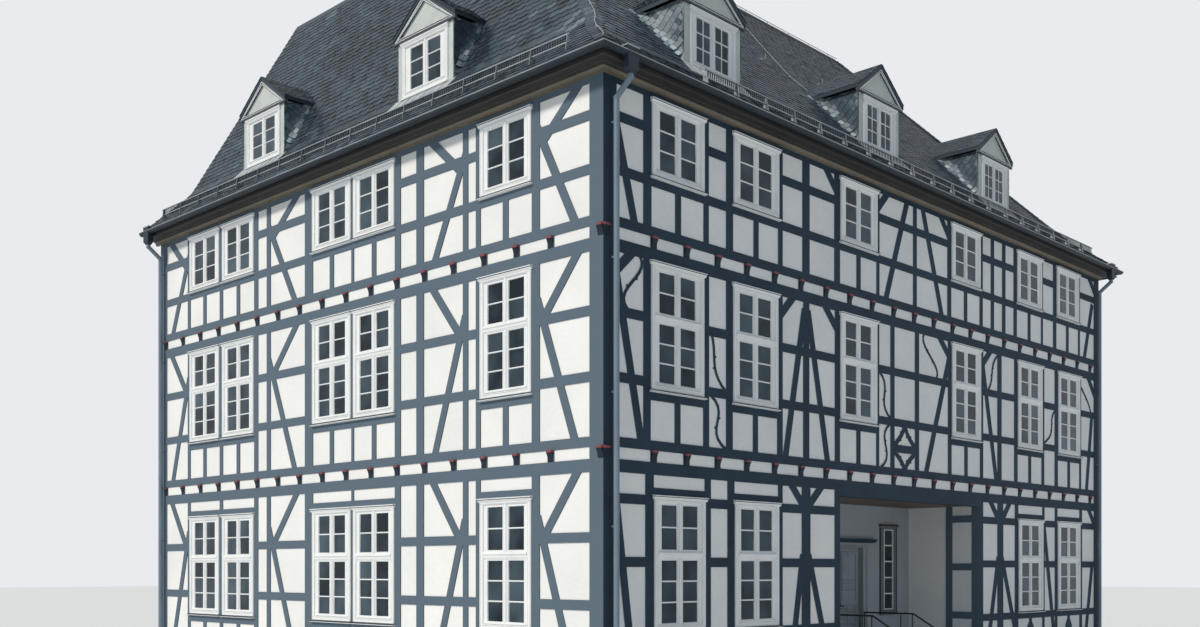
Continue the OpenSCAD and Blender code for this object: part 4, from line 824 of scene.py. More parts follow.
@dataclass
class Windows:
    """Panes, bars, beads and mouldings of every casement window.

    Heights are measured from a window's lower edge, and depths from the face of its wall.
    """

    bar_w: float = 0.028
    mull_half: float = 0.075
    light_w: float = 0.415
    light_up: float = 0.15
    transom_half: float = 0.09
    sash_face: float = -0.002
    sash_back: float = -0.047
    casing_face: float = 0.02
    transom_low: float = 1.26
    transom_high: float = 1.34
    transom_from: float = 2.0
    transom_high_from: float = 2.3
    transom_board: float = 0.07
    pane_lean: float = 0.006
    pane_lap: float = 0.006
    pane_t: float = 0.003
    rebate: float = 0.013
    cap_over: float = 0.034
    weather_up: float = 0.006

    def __post_init__(self) -> None:
        """Fixes the seed of the panes."""
        self.dice = np.random.default_rng(7)

    def build(self) -> None:
        """Makes one piece for each group of windows."""
        for side in ("front", "side", "rear", "dormer"):
            wood, glass, sheet = Shell(), Shell(), Shell()
            for place in window_places(side + "_glass"):
                if side == "dormer":
                    self._dormer_window(wood, glass, place)
                else:
                    self._window(wood, glass, place)
                    self._caps(wood, sheet, place)
            wood.piece(side + "_window_bars", WINDOW_PAINT, Slot.PAINTED)
            glass.piece(side + "_panes", GLASS, Slot.GLASS)
            if sheet.count:
                sheet.piece(side + "_sill_sheets_and_shade_strips", ZINC, Slot.ZINC)

    def _lights(self, place: WindowPlace, z0: float, z1: float) -> Array:
        """Gives the two glazed lights of a window between two heights.

        Args:
            place: the window.
            z0: the lower height.
            z1: the upper height.

        Returns:
            Rows of u0, z0, u1, z1.
        """
        light = min(self.light_w, place.width / 2 - self.mull_half - CASING_W)
        near, far = self.mull_half, self.mull_half + light
        return np.array([[-far, z0, -near, z1], [near, z0, far, z1]])

    def _glaze(self, wood: Shell, glass: Shell, place: WindowPlace, lights: Array, rows: int,
               columns: int = 1) -> None:
        """Adds the beads round each light, the bars that split it, and its panes.

        Args:
            wood: where the bars go.
            glass: where the panes go.
            place: the window.
            lights: rows of u0, z0, u1, z1.
            rows: panes one above another.
            columns: panes side by side.
        """
        half, face, back = self.bar_w / 2, self.sash_face, self.sash_back
        wood.frames(place.facing, lights, cove(0.009, 0.018, face + 0.004))
        profile = np.array([[-half, back], [-half, face - 0.009], [-half / 2.5, face],
                            [half / 2.5, face], [half, face - 0.009], [half, back]])
        u0, z0, u1, z1 = (lights[:, i : i + 1] for i in range(4))
        share = np.arange(1, rows) / rows
        wood.bars(place.facing, u0, u1, z0 + share * (z1 - z0), profile)
        if columns > 1:
            share = np.arange(1, columns) / columns
            wood.bars(place.facing, z0, z1, u0 + share * (u1 - u0), profile, plumb=True)
        self._panes(glass, place, lights, rows, columns)

    def _panes(self, glass: Shell, place: WindowPlace, lights: Array, rows: int, columns: int) -> None:
        """Adds the panes of some lights, each leaning a little its own way and with its own tone.

        A pane's depth is d + a (u - middle u) + b (z - middle z), with small random a and b.

        Args:
            glass: where the panes go.
            place: the window.
            lights: rows of u0, z0, u1, z1.
            rows: panes one above another.
            columns: panes side by side.
        """
        lap, back = self.pane_lap, self.sash_face - self.rebate
        u = np.linspace(lights[:, 0] - lap, lights[:, 2] + lap, columns + 1)
        z = np.linspace(lights[:, 1] - lap, lights[:, 3] + lap, rows + 1)
        low = np.stack(np.broadcast_arrays(u[:-1, None], z[None, :-1], back - self.pane_t), -1)
        high = np.stack(np.broadcast_arrays(u[1:, None], z[None, 1:], back), -1)
        low, high = low.reshape(-1, 3), high.reshape(-1, 3)
        points = boxes(low, high)
        k = len(points)
        lean = self.dice.uniform(-self.pane_lean, self.pane_lean, (k, 1, 2))
        off = points[..., :2] - ((low + high) / 2)[:, None, :2]
        points[..., 2] += (lean * off).sum(-1)
        # Each pane's tone moves it towards a painted reflection of the sky
        tone = np.clip(self.dice.normal(0, 0.5, k), -1, 1)
        glass.add(place.facing.world(points), BOX_FACES, tone)

    def _caps(self, wood: Shell, sheet: Shell, place: WindowPlace) -> None:
        """Adds the head board's cap, a dark strip of painted shade under it, and the zinc sheet over the
        sill board, kept dark so that its turned-down edge also paints the shadow line under the casing.

        Args:
            wood: where the cap goes.
            sheet: where the strip and the sheet go.
            place: the window.
        """
        reach, inset = place.width / 2 + self.cap_over, 0.004
        cap = np.array([[-0.004, 0.0], [-0.004, 0.052], [-0.012, 0.056], [-0.012, 0.068],
                        [0.002, 0.068], [0.014, 0.0]])
        wood.bars(place.facing, -reach, reach, place.height, cap)
        # A dark strip of painted shade under the cap, where a shadow line falls
        shade_strip = np.array([[-0.024, 0.04], [-0.024, 0.0575], [-0.012, 0.0575], [-0.012, 0.04]])
        sheet.bars(place.facing, -reach + inset, reach - inset, place.height, shade_strip)
        # The zinc sheet over the sill; its dark turned-down edge is also painted shade under the casing
        drip = np.array([[0.019, 0.0], [0.004, 0.076], [-0.009, 0.076], [-0.009, 0.071],
                         [0.0, 0.069], [0.011, 0.0]])
        sheet.bars(place.facing, -reach, reach, 0.0, drip)

    def _casing(self, wood: Shell, place: WindowPlace) -> None:
        """Adds the raised edge of the casing, and the hollow and the lip at its opening.

        Args:
            wood: where they go.
            place: the window.
        """
        half, high = place.width / 2, place.height
        outer = np.array([[-half + 0.012, 0.02, half - 0.012, high - 0.07]])
        band = np.array([[0.0, 0.018], [0.0, 0.03], [-0.008, 0.033], [-0.018, 0.03], [-0.024, 0.018]])
        wood.frames(place.facing, outer, band)
        inner = np.array([[-half + CASING_W, CASING_W, half - CASING_W, high - CASING_W]])
        wood.frames(place.facing, inner, cove(0.022, 0.024, self.casing_face + 0.002))
        wood.frames(place.facing, inner, bead(0.02, 0.01, 0.014, self.casing_face - 0.001))

    def _middle(self, wood: Shell, place: WindowPlace, z0: float, z1: float) -> None:
        """Adds the strip over the meeting stiles, with a bead each side.

        Args:
            wood: where they go.
            place: the window.
            z0: the foot of the strip.
            z1: its top.
        """
        face = self.sash_face
        strip = np.array([[-0.026, face - 0.002], [-0.026, face + 0.014], [-0.012, face + 0.024],
                          [0.012, face + 0.024], [0.026, face + 0.014], [0.026, face - 0.002]])
        wood.bars(place.facing, z0, z1, 0.0, strip, plumb=True)
        for u in (-0.052, 0.052):
            wood.bars(place.facing, z0, z1, u, bead(0.012, 0.007, 0.0, face - 0.001), plumb=True)

    def _weather_bar(self, wood: Shell, place: WindowPlace) -> None:
        """Adds the sloped bar that throws water off the foot of the casements.

        Args:
            wood: where it goes.
            place: the window.
        """
        reach, face = place.width / 2 - CASING_W - 0.012, self.sash_face
        wedge = np.array([[0.0, face - 0.002], [0.0, face + 0.03], [0.012, face + 0.034],
                          [0.046, face + 0.006], [0.05, face - 0.002]])
        wood.bars(place.facing, -reach, reach, CASING_W + self.weather_up, wedge)

    def _transom(self, wood: Shell, place: WindowPlace, z: float) -> None:
        """Adds the moulded transom: a sloped top, a nose, a hollow and a fillet.

        Args:
            wood: where it goes.
            place: the window.
            z: the height of its middle.
        """
        reach, face = place.width / 2 - CASING_W, self.sash_face
        profile = np.array([[-0.068, face - 0.002], [-0.068, face + 0.008], [-0.05, face + 0.012],
                            [-0.042, face + 0.022], [-0.014, face + 0.025], [0.004, face + 0.031],
                            [0.014, face + 0.044], [0.03, face + 0.047], [0.04, face + 0.042],
                            [0.068, face + 0.014], [0.068, face - 0.002]])
        wood.bars(place.facing, -reach, reach, z, profile)

    def _window(self, wood: Shell, glass: Shell, place: WindowPlace) -> None:
        """Adds all that one wall window has.

        Args:
            wood: where the woodwork goes.
            glass: where the panes go.
            place: the window.
        """
        high, foot, head = place.height, self.light_up, place.height - self.light_up
        self._casing(wood, place)
        self._weather_bar(wood, place)
        if high < self.transom_from:
            self._glaze(wood, glass, place, self._lights(place, foot, head), 3)
            self._middle(wood, place, CASING_W, high - CASING_W)
            return
        transom = self.transom_high if high > self.transom_high_from else self.transom_low
        low_top, up_foot = transom - self.transom_half, transom + self.transom_half
        self._glaze(wood, glass, place, self._lights(place, foot, low_top), 3)
        self._glaze(wood, glass, place, self._lights(place, up_foot, head), 2)
        self._transom(wood, place, transom)
        self._middle(wood, place, CASING_W, transom - self.transom_board)
        self._middle(wood, place, transom + self.transom_board, high - CASING_W)

    def _dormer_window(self, wood: Shell, glass: Shell, place: WindowPlace) -> None:
        """Adds what a dormer window has: two columns of panes on the front, one on the side.

        Args:
            wood: where the woodwork goes.
            glass: where the panes go.
            place: the window.
        """
        front = abs(place.facing.out[1]) > 0.5
        self._casing(wood, place)
        self._weather_bar(wood, place)
        lights = self._lights(place, self.light_up, place.height - self.light_up)
        self._glaze(wood, glass, place, lights, 3, 2 if front else 1)
        self._middle(wood, place, CASING_W, place.height - CASING_W)


@dataclass(frozen=True)
class Slope:
    """A slope in section: eave, knee and ridge, each a distance behind the wall and a height."""

    eave: tuple[float, float]
    knee: tuple[float, float]
    ridge: tuple[float, float]

    @property
    def knots(self) -> Array:
        """The three places from the eave up, one row each."""
        return np.array([self.eave, self.knee, self.ridge])

    def behind(self, z: Array) -> Array:
        """How far behind the wall the slope has height z."""
        return np.interp(z, self.knots[:, 1], self.knots[:, 0])

    def height(self, back: Array) -> Array:
        """The height of the slope a distance behind the wall."""
        return np.interp(back, self.knots[:, 0], self.knots[:, 1])


@dataclass(frozen=True)
class Roof:
    """The roof's two kinds of slope and its plan, in metres."""

    long: Slope = Slope((-0.4, 11.17), (0.6, 11.91), (6.15, 17.68))
    steep: Slope = Slope((-0.4, 11.17), (0.9, 12.38), (4.02, 17.68))
    front_len: float = 20.17
    main_depth: float = 12.3
    wing_w: float = 8.04
    gable_end: float = 15.65


ROOF = Roof()
Limit = Callable[[Array], Array]


@dataclass
class SlateField:
    """Slates over a bent plane, course by course, each slate a thin closed wedge.

    A place on the field is u along the courses and s up the slope. The slope is a line through
    knots of (inward, height). Each slate has a lower edge of rounded corners, lies on the course
    below it, and is cut where it meets a hip, a valley or a verge.
    """

    origin: Array
    across: Array
    inward: Array
    knots: Array
    low: Limit
    high: Limit
    clear: Callable[[Array, Array], Array] | None = None
    seed: int = 1
    width: float = 0.25
    show: float = 0.165
    length: float = 0.3
    lift: float = 0.023
    thick: float = 0.012
    over: float = 0.03

    def add_to(self, shell: Shell) -> None:
        """Works out every slate of the field at once and adds them.

        Args:
            shell: where the slates go.
        """
        steps = np.linalg.norm(np.diff(self.knots, axis=0), axis=1)
        run = np.concatenate([[0.0], np.cumsum(steps)])
        course = np.arange(int((run[-1] + self.over) / self.show))
        foot = course * self.show - self.over
        level = np.interp(foot, run, self.knots[:, 1])
        start = float(np.min(self.low(level))) - self.width
        count = int((float(np.max(self.high(level))) - start) / self.width) + 2
        centre = start + (np.arange(count)[None] + 0.5 * (course[:, None] % 2)) * self.width
        centre, foot = np.broadcast_arrays(centre, foot[:, None])
        mid = np.interp(foot + self.show / 2, run, self.knots[:, 1])
        keep = (centre + self.width / 2 > self.low(mid)) & (centre - self.width / 2 < self.high(mid))
        if self.clear is not None:
            keep &= ~self.clear(centre, mid)
        shell.add(*self._slates(centre[keep], foot[keep], run))

    def _slates(self, centre: Array, foot: Array, run: Array) -> tuple[Array, list[Array], Array]:
        """Places the chosen slates.

        Args:
            centre: u of each slate's middle.
            foot: s of each slate's lower edge.
            run: s at each knot.

        Returns:
            Points, faces and tones.
        """
        dice = np.random.default_rng(self.seed)
        k, half = len(centre), self.width / 2 - 0.002
        front = [-half, -0.56 * half, 0.56 * half, half]
        u = np.array(front + [-half, half] + front)
        s = np.array([0.034, 0.0, 0.0, 0.034, self.length, self.length, 0.034, 0.0, 0.0, 0.034])
        n = np.array([self.lift] * 4 + [0.002] * 2 + [self.lift - self.thick] * 4)
        tilt = dice.normal(0, 0.0016, (k, 1)) * np.sign(u) + dice.normal(0, 0.0012, (k, 1))
        raise_by = np.where(n > 0.003, tilt, 0.0)
        s = np.minimum(foot[:, None] + s + dice.normal(0, 0.004, (k, 1)), run[-1] - 0.01)
        level = np.interp(s, run, self.knots[:, 1])
        u = np.clip(centre[:, None] + u, self.low(level), self.high(level))
        kept = (u[:, 3] - u[:, 0] > 0.03) & (s[:, 4] - s[:, 0] > 0.05)
        u, s, level = u[kept], s[kept], level[kept]
        back = np.interp(s, run, self.knots[:, 0])
        segment = np.clip(np.searchsorted(run, s, side="right") - 1, 0, len(run) - 2)
        way = np.diff(self.knots, axis=0) / np.diff(run)[:, None]
        rise = (n + raise_by[kept])[..., None] * np.stack([-way[segment, 1], way[segment, 0]], -1)
        points = (self.origin + u[..., None] * self.across
                  + (back + rise[..., 0])[..., None] * self.inward
                  + (level + rise[..., 1])[..., None] * UP)
        faces = [np.array([[0, 1, 2, 3, 5, 4], [4, 5, 9, 8, 7, 6]]),
                 np.array([[1, 0, 6, 7], [2, 1, 7, 8], [3, 2, 8, 9]]), np.array([[0, 4, 6], [5, 3, 9]])]
        tone = np.clip(dice.normal(-0.05, 0.24, k), -0.7, 0.3)[kept]
        return points, faces, tone


@dataclass(frozen=True)
class Dormer:
    """One dormer: its window's place and the sizes of its little house."""

    place: WindowPlace
    steep: bool
    over: float = 0.12
    rise: float = 0.7
    roof_t: float = 0.08
    back: float = 0.9
    front_edge: float = 0.06

    @property
    def half(self) -> float:
        """Half the width of its walls."""
        return self.place.width / 2 + 0.15

    @property
    def sill(self) -> float:
        """Height of the window's lower edge."""
        return self.place.facing.origin[2]

    @property
    def eave(self) -> float:
        """Height where its roof starts."""
        return self.sill + self.place.height + 0.09

    @property
    def slope(self) -> Slope:
        """The main slope that it stands on."""
        return ROOF.steep if self.steep else ROOF.long

    @property
    def reach(self) -> Limit:
        """How far behind the dormer's face the main slope has a height."""
        return lambda z: self.slope.behind(z) - self.back

    def covers(self, u: Array, z: Array) -> Array:
        """Tells where the slope is hidden: within the walls and under the gable.

        Args:
            u: places along the slope, from the dormer's middle.
            z: their heights.

        Returns:
            True where it is hidden.
        """
        top = self.eave + self.roof_t
        under = (z < top) & (np.abs(u) < self.half - 0.02)
        wide = self.half + self.over
        gable = (z >= top) & (np.abs(u) < wide * (1 - (z - top) / self.rise) - 0.1)
        return (z > self.sill + 0.05) & (under | gable)


def dormers() -> list[Dormer]:
    """Finds the dormers by their windows."""
    return [Dormer(place, abs(place.facing.out[0]) > 0.5) for place in window_places("dormer_glass")]


@dataclass(frozen=True)
class Sweep:
    """Slates swept from the main slope through a hollow and up one cheek of a dormer.

    Across the line where cheek and slope meet, a runs along the slope, round an arc of radius r and
    up the cheek. With t = a / r kept between zero and a quarter turn, a place is
    x = -r + r sin t + min(a, 0) towards the dormer and y = r - r cos t + max(a - r pi / 2, 0)
    square to the slope. The hollow widens up the slope, and each course keeps its own r.
    """

    dormer: Dormer
    way: float
    seed: int
    show: float = 0.15
    length: float = 0.22
    width: float = 0.105
    widest: float = 0.22
    skirt: float = 0.3
    lift: float = 0.03
    thick: float = 0.012

    def add_to(self, shell: Shell) -> None:
        """Lays all courses at once.

        Args:
            shell: where the slates go.
        """
        dormer, dice = self.dormer, np.random.default_rng(self.seed)
        facing = dormer.place.facing
        height = dormer.slope.height
        lean = math.atan(float(height(dormer.back + 1) - height(dormer.back)))
        sine, cosine = math.sin(lean), math.cos(lean)
        inward = -np.array(facing.out)
        up, square = cosine * inward + sine * UP, cosine * UP - sine * inward
        toward = -self.way * facing.along
        edge = [self.way * dormer.half, float(height(dormer.back)) - dormer.sill, 0.0]
        foot = facing.world(edge)
        s = np.arange(0.0, (dormer.eave - foot[2]) / sine, self.show)
        radius = np.clip(s * cosine / sine, 0.02, self.widest)

        def reach(s: Array, r: Array) -> Array:
            """How far up the cheek a course goes: to the dormer's face, or to its eaves."""
            tall = np.minimum(s * cosine / sine, (dormer.eave - foot[2] - s * sine) / cosine)
            return r * (math.pi / 2 - 1) + np.maximum(tall, 0)

        longest = float(reach(s + self.length, radius).max())
        count = int((self.skirt + longest) / self.width) + 2
        start = np.arange(count)[None] - 0.5 * (np.arange(len(s)) % 2)[:, None]
        start = start * self.width - self.skirt
        start, s, radius = np.broadcast_arrays(start, s[:, None], radius[:, None])
        keep = start + 0.02 < np.maximum(reach(s, radius), reach(s + self.length, radius))
        start, s, radius = start[keep], s[keep], radius[keep]
        low = np.stack([start + 0.002, s + dice.normal(0, 0.003, len(s)), 0 * s], -1)
        high = np.stack([start + self.width - 0.002, s + self.length, 0 * s + 1], -1)
        a, s, face = np.moveaxis(boxes(low, high), -1, 0)
        r = radius[:, None]
        far = a > low[:, :1] + 0.01
        a = np.minimum(a, reach(s, r) - np.where(far, 0.0, 0.003))
        top = np.where(s > low[:, 1:2] + 0.1, 0.004 + 0.012, self.lift)
        n = np.where(face > 0.5, top, top - self.thick)
        t = np.clip(a / r, 0, math.pi / 2)
        x = -r + r * np.sin(t) + np.minimum(a, 0)
        y = r - r * np.cos(t) + np.maximum(a - r * math.pi / 2, 0)
        x, y = x - n * np.sin(t), y + n * np.cos(t)
        points = foot + s[..., None] * up + x[..., None] * toward + y[..., None] * square
        # Lighter up onto the upright cheek, and a painted highlight along the middle of the hollow
        middle = t.mean(axis=1)
        steep = np.clip((middle - 0.5) / 0.8, 0, 1)
        tone = dice.normal(-0.1, 0.12, len(points)) + 0.55 * steep
        tone += 0.8 * np.exp(-(((middle - 0.75) / 0.35) ** 2))
        shell.add(points, BOX_FACES, np.clip(tone, -0.6, 1.0))


@dataclass
class SlateRoof:
    """All slates: the five slopes, the hips, and the cheeks and roofs of the dormers."""

    hip_step: float = 0.12
    hip_wide: float = 0.2
    hip_stop: float = 0.22

    def build(self) -> None:
        """Makes one piece for each slope and one for the dormers."""
        side = np.array([1.0, 0.0, 0.0])
        deep = np.array([0.0, 1.0, 0.0])
        long, steep = ROOF.long, ROOF.steep
        plan = np.array([CORNER[0], CORNER[1], 0.0])
        end, back, wing = ROOF.front_len, ROOF.main_depth, ROOF.wing_w
        fields = {
            "slates_front": SlateField(plan, side, deep, long.knots, steep.behind,
                                       lambda z: end - steep.behind(z), self._clear(steep=False), 11),
            "slates_left": SlateField(plan, deep, side, steep.knots, long.behind,
                                      lambda z: ROOF.gable_end + 0 * z, self._clear(steep=True), 12),
            "slates_right": SlateField(plan + end * side, deep, -side, steep.knots, long.behind,
                                       lambda z: back - long.behind(z), None, 13),
            "slates_rear": SlateField(plan + back * deep, side, -deep, long.knots,
                                      lambda z: wing - steep.behind(z),
                                      lambda z: end - steep.behind(z), None, 14),
            "slates_wing": SlateField(plan + wing * side, deep, -side, steep.knots,
                                      lambda z: back - long.behind(z),
                                      lambda z: ROOF.gable_end + 0 * z, None, 15),
        }
        for name, patch in fields.items():
            shell = Shell()
            patch.add_to(shell)
            shell.piece(name, SLATE, Slot.SLATE)
        self._dormer_slates()
        self._hip_slates()

    def _hip_slates(self) -> None:
        """Lays a row of slates on both sides of each hip, over its cap.

        A slate's inner edge follows the hip between two heights, and its outer edge is the same line
        moved level along its slope.
        """
        shell, dice = Shell(), np.random.default_rng(21)
        end, deep = ROOF.front_len, ROOF.main_depth
        for corner, dx, dy in (((0, 0), 1, 1), ((end, 0), -1, 1), ((end, deep), -1, -1)):
            foot = np.arange(ROOF.long.eave[1] + 0.01, ROOF.long.ridge[1] - self.hip_stop, self.hip_step)
            for away in ((dx, 0), (0, dy)):
                low = np.stack([foot, foot + 1.5 * self.hip_step], -1)[:, None, :, None]
                out = np.array([-0.01, self.hip_wide])[None, :, None, None]
                lift = np.stack([[0.066, 0.05], [0.056, 0.04]])[None, None].transpose(0, 1, 3, 2)
                z, out, lift = np.broadcast_arrays(low, out, lift)
                x = CORNER[0] + corner[0] + dx * ROOF.steep.behind(z) + away[0] * out
                y = CORNER[1] + corner[1] + dy * ROOF.long.behind(z) + away[1] * out
                points = np.stack([x, y, z + lift], -1)
                tone = np.clip(dice.normal(0, 0.25, len(foot)), -0.6, 0.4)
                shell.add(points.reshape(len(foot), 8, 3), BOX_FACES, tone)
        shell.piece("slates_hips", SLATE, Slot.SLATE)

    @staticmethod
    def _clear(steep: bool) -> Callable[[Array, Array], Array]:
        """Makes a test for the places of a slope that its dormers hide.

        Args:
            steep: whether it is the left slope, or else the front one.

        Returns:
            The test, true where a dormer covers (u, z).
        """
        axis = 1 if steep else 0
        chosen = [d for d in dormers() if d.steep == steep]
        middles = [d.place.facing.origin[axis] - CORNER[axis] for d in chosen]

        def hidden(u: Array, z: Array) -> Array:
            """True where any dormer covers (u, z)."""
            return np.any([d.covers(u - m, z) for d, m in zip(chosen, middles)], axis=0)

        return hidden

    @staticmethod
    def _dormer_slates() -> None:
        """Covers each dormer's cheeks and both planes of its roof."""
        shell = Shell()
        for number, dormer in enumerate(dormers()):
            facing = dormer.place.facing
            face = np.array([facing.origin[0], facing.origin[1], 0.0])
            away, reach = -np.array(facing.out), dormer.reach
            for way in (-1.0, 1.0):
                side = way * facing.along
                Sweep(dormer, way, 200 + number * 2 + int(way)).add_to(shell)
                wide = dormer.half + dormer.over
                top = dormer.eave + dormer.roof_t
                SlateField(face + wide * side, away, -side,
                           np.array([[0, top], [wide, top + dormer.rise]]),
                           lambda z, d=dormer: -d.front_edge - 0.012 + 0 * z,
                           lambda z, r=reach: r(z) + 0.03, None, seed=102 + number * 4 + int(way),
                           width=0.17, show=0.11, length=0.2, lift=0.014, thick=0.006, over=0.02
                           ).add_to(shell)
        shell.piece("slates_dormers", SLATE, Slot.SLATE)


@dataclass
class BeamEnds:
    """Moulded ends of the floor beams, between each plate and the sill above it.

    They stand on both walls that meet at the near corner, a pitch apart from the first, and at the
    corner itself.
    """

    first: float = 1.25
    pitch: float = 0.8725
    most: int = 40
    end_gap: float = 0.2
    half: float = 0.062
    levels: tuple[float, ...] = (4.565, 8.225)
    tall: float = 0.2
    overlap: float = 0.004

    def build(self) -> None:
        """Sets an end on each beam of both walls."""
        wood, red = Shell(), Shell()
        place = self.first + np.arange(self.most) * self.pitch
        corner, near = (CORNER[0], CORNER[1], 0.0), np.array([self.half])
        front, left = Facing(corner, (0.0, -1.0, 0.0)), Facing(corner, (-1.0, 0.0, 0.0))
        for level in self.levels:
            self._row(wood, red, front, place[place < ROOF.front_len - self.end_gap], level)
            self._row(wood, red, left, -place[place < ROOF.gable_end - self.end_gap], level)
            self._row(wood, red, front, near, level)
            self._row(wood, red, left, -near, level)
        wood.piece("beam_ends", END_PAINT, Slot.OAK)
        red.piece("beam_end_fillets", RED_PAINT, Slot.OAK)

    def _row(self, wood: Shell, red: Shell, facing: Facing, u: Array, z: float) -> None:
        """Adds a row of ends: a red fillet over a curve that falls back to the wall.

        Args:
            wood: where the ends go.
            red: where the fillets go.
            facing: the wall.
            u: the middle of each end.
            z: top of the plate.
        """
        tall, half = self.tall, self.half
        profile = np.array([[0.0, -0.003], [0.0, 0.005], [0.03, 0.008], [0.085, 0.018], [0.125, 0.032],
                            [0.148, 0.044], [0.156, 0.047], [tall, 0.047], [tall, -0.003]])
        wood.bars(facing, u - half, u + half, z, profile)
        strip = np.array([[0.162, 0.0], [0.162, 0.052], [tall + 0.002, 0.052], [tall + 0.002, 0.0]])
        red.bars(facing, u - half - self.overlap, u + half + self.overlap, z, strip)


def round_the_house(distance: float) -> Array:
    """Plan of the eaves line that runs round all sides with a gutter, a distance out of the walls.

    Each corner moves by the sum of both outward normals over one plus their dot product.

    Args:
        distance: how far out of the walls.

    Returns:
        Plan points from the rear end of the left side round to the end of the wing's inner side.
    """
    roof = ROOF
    plan = np.array([[0, roof.gable_end], [0, 0], [roof.front_len, 0], [roof.front_len, roof.main_depth],
                     [roof.wing_w, roof.main_depth], [roof.wing_w, roof.gable_end]], float)
    way = np.diff(plan, axis=0)
    way /= np.linalg.norm(way, axis=1, keepdims=True)
    normal = np.stack([way[:, 1], -way[:, 0]], -1)
    before = np.vstack([normal[:1], normal])
    after = np.vstack([normal, normal[-1:]])
    mitre = (before + after) / (1 + np.sum(before * after, axis=1, keepdims=True))
    return plan + CORNER[:2] + distance * mitre


def carried_round(profile: Array) -> Array:
    """Carries a profile of (out, z) along the eaves line, with mitred corners.

    Args:
        profile: closed outline, distance out of the wall and height.

    Returns:
        The points, ring by ring.
    """
    rings = [np.column_stack([round_the_house(out), np.full(6, z)]) for out, z in profile]
    return np.stack(rings, axis=1).reshape(-1, 3)


@dataclass
class Eaves:
    """Mouldings under the eaves, and the gutter's rim and straps."""

    gutter_out: float = 0.425
    gutter_r: float = 0.075
    rim_z: float = 11.12
    rim_r: float = 0.012
    rim_in: float = 0.0125
    rim_up: float = 0.011
    strap_pitch: float = 0.78
    strap_half: float = 0.014
    head_in: float = 0.07
    foot_z: float = 10.9

    def build(self) -> None:
        """Makes the crown moulding, the edge bead, the rim, the straps and the rainwater heads."""
        shell = Shell()
        z = self.foot_z
        turn = np.linspace(0.08, math.pi / 2 - 0.08, 6)
        hollow = np.stack([0.157 - 0.1 * np.cos(turn), z + 0.004 + 0.08 * np.sin(turn)], -1)
        crown = np.concatenate([[[0.0, z - 0.012], [0.058, z - 0.012]], hollow, [
            [0.172, z + 0.076], [0.172, z + 0.088], [0.0, z + 0.088]]])
        shell.loft(carried_round(crown), len(crown))
        shell.piece("eaves_mouldings", EAVES_TRIM, Slot.EAVES)
        shell = Shell()
        # The edge bead is dark like the boards, painted shade under the eaves
        edge = np.array([[0.32, z + 0.066], [0.372, z + 0.066], [0.378, z + 0.078], [0.372, z + 0.092],
                         [0.352, z + 0.096], [0.352, z + 0.09], [0.32, z + 0.09]])
        shell.loft(carried_round(edge), len(edge))
        shell.piece("eaves_edge_bead", EAVES_BOARD, Slot.EAVES)
        shell = Shell()
        # The rim bead in pale zinc is a painted highlight along the dark gutter's edge
        out, high = self.gutter_out + self.gutter_r - self.rim_in, self.rim_z + self.rim_up
        ring = circle(self.rim_r, 8) + [out, high]
        shell.loft(carried_round(ring), len(ring))
        shell.piece("gutter_rim_highlight", BARE_ZINC_AND_HIGHLIGHT, Slot.ZINC)
        shell = Shell()
        self._straps(shell)
        shell.piece("gutter_straps", ZINC, Slot.ZINC)
        self._heads()

    def _heads(self) -> None:
        """Adds a rainwater head round the top of each downpipe: a rimmed box over a funnel.

        Rings of half length, half depth and height are joined as a loft.
        """
        rings = np.array([[0.13, 0.0725, 0.1], [0.13, 0.0725, -0.06], [0.122, 0.0725, -0.26],
                          [0.05, 0.05, -0.33]])
        turn = np.array([[-1, -1], [1, -1], [1, 1], [-1, 1]], float)
        shell, rim = Shell(), Shell()
        for box in islands("downpipes"):
            size, middle = box[1] - box[0], box.mean(axis=0)
            axis = 1 if size[0] < size[1] else 0
            sign = -1.0 if middle[axis] < 0 else 1.0
            middle[axis] = box[0 if sign < 0 else 1][axis] - sign * self.head_in
            middle[2] = self.rim_z
            flat = turn[None] * (rings[:, None, :2] if axis == 1 else rings[:, None, 1::-1])
            high = np.broadcast_to(rings[:, None, 2:], flat.shape[:2] + (1,))
            shell.loft((middle + np.concatenate([flat, high], -1)).reshape(-1, 3), 4)
            # The rim in pale zinc is a painted glint on the dark head
            half = np.array([0.145, 0.0745] if axis == 1 else [0.0745, 0.145])
            rim.blocks(middle + [*-half, 0.09], middle + [*half, 0.118])
        shell.piece("rainwater_heads", ZINC, Slot.ZINC)
        rim.piece("rainwater_head_rim_glints", BARE_ZINC_AND_HIGHLIGHT, Slot.ZINC)

    def _straps(self, shell: Shell) -> None:
        """Adds flat straps that hold the gutter: half rings a little wider than it, in a row.

        Args:
            shell: where the straps go.
        """
        turn = np.linspace(math.pi, 2 * math.pi, 9)
        outer = (self.gutter_r + 0.004) * np.stack([np.cos(turn), np.sin(turn)], -1)
        inner = (self.gutter_r + 0.0005) * np.stack([np.cos(turn), np.sin(turn)], -1)[::-1]
        section = np.concatenate([outer, inner])
        section[:, 0] = np.minimum(section[:, 0], self.gutter_r)
        line = round_the_house(0.0)
        for start, stop in zip(line[:-1], line[1:]):
            length = float(np.linalg.norm(stop - start))
            way = (stop - start) / length
            normal = np.array([way[1], -way[0]])
            place = np.arange(0.3, length - 0.2, self.strap_pitch)
            along = (place[:, None] + [-self.strap_half, self.strap_half])[..., None] * way + start
            out = (self.gutter_out + section[:, 0])[:, None] * normal
            flat = along[:, :, None] + out[None, None]
            high = (self.rim_z + section[:, 1])[None, None, :, None]
            high = np.broadcast_to(high, flat.shape[:3] + (1,))
            points = np.concatenate([flat, high], -1).reshape(len(place), -1, 3)
            shell.loft(points, len(section))


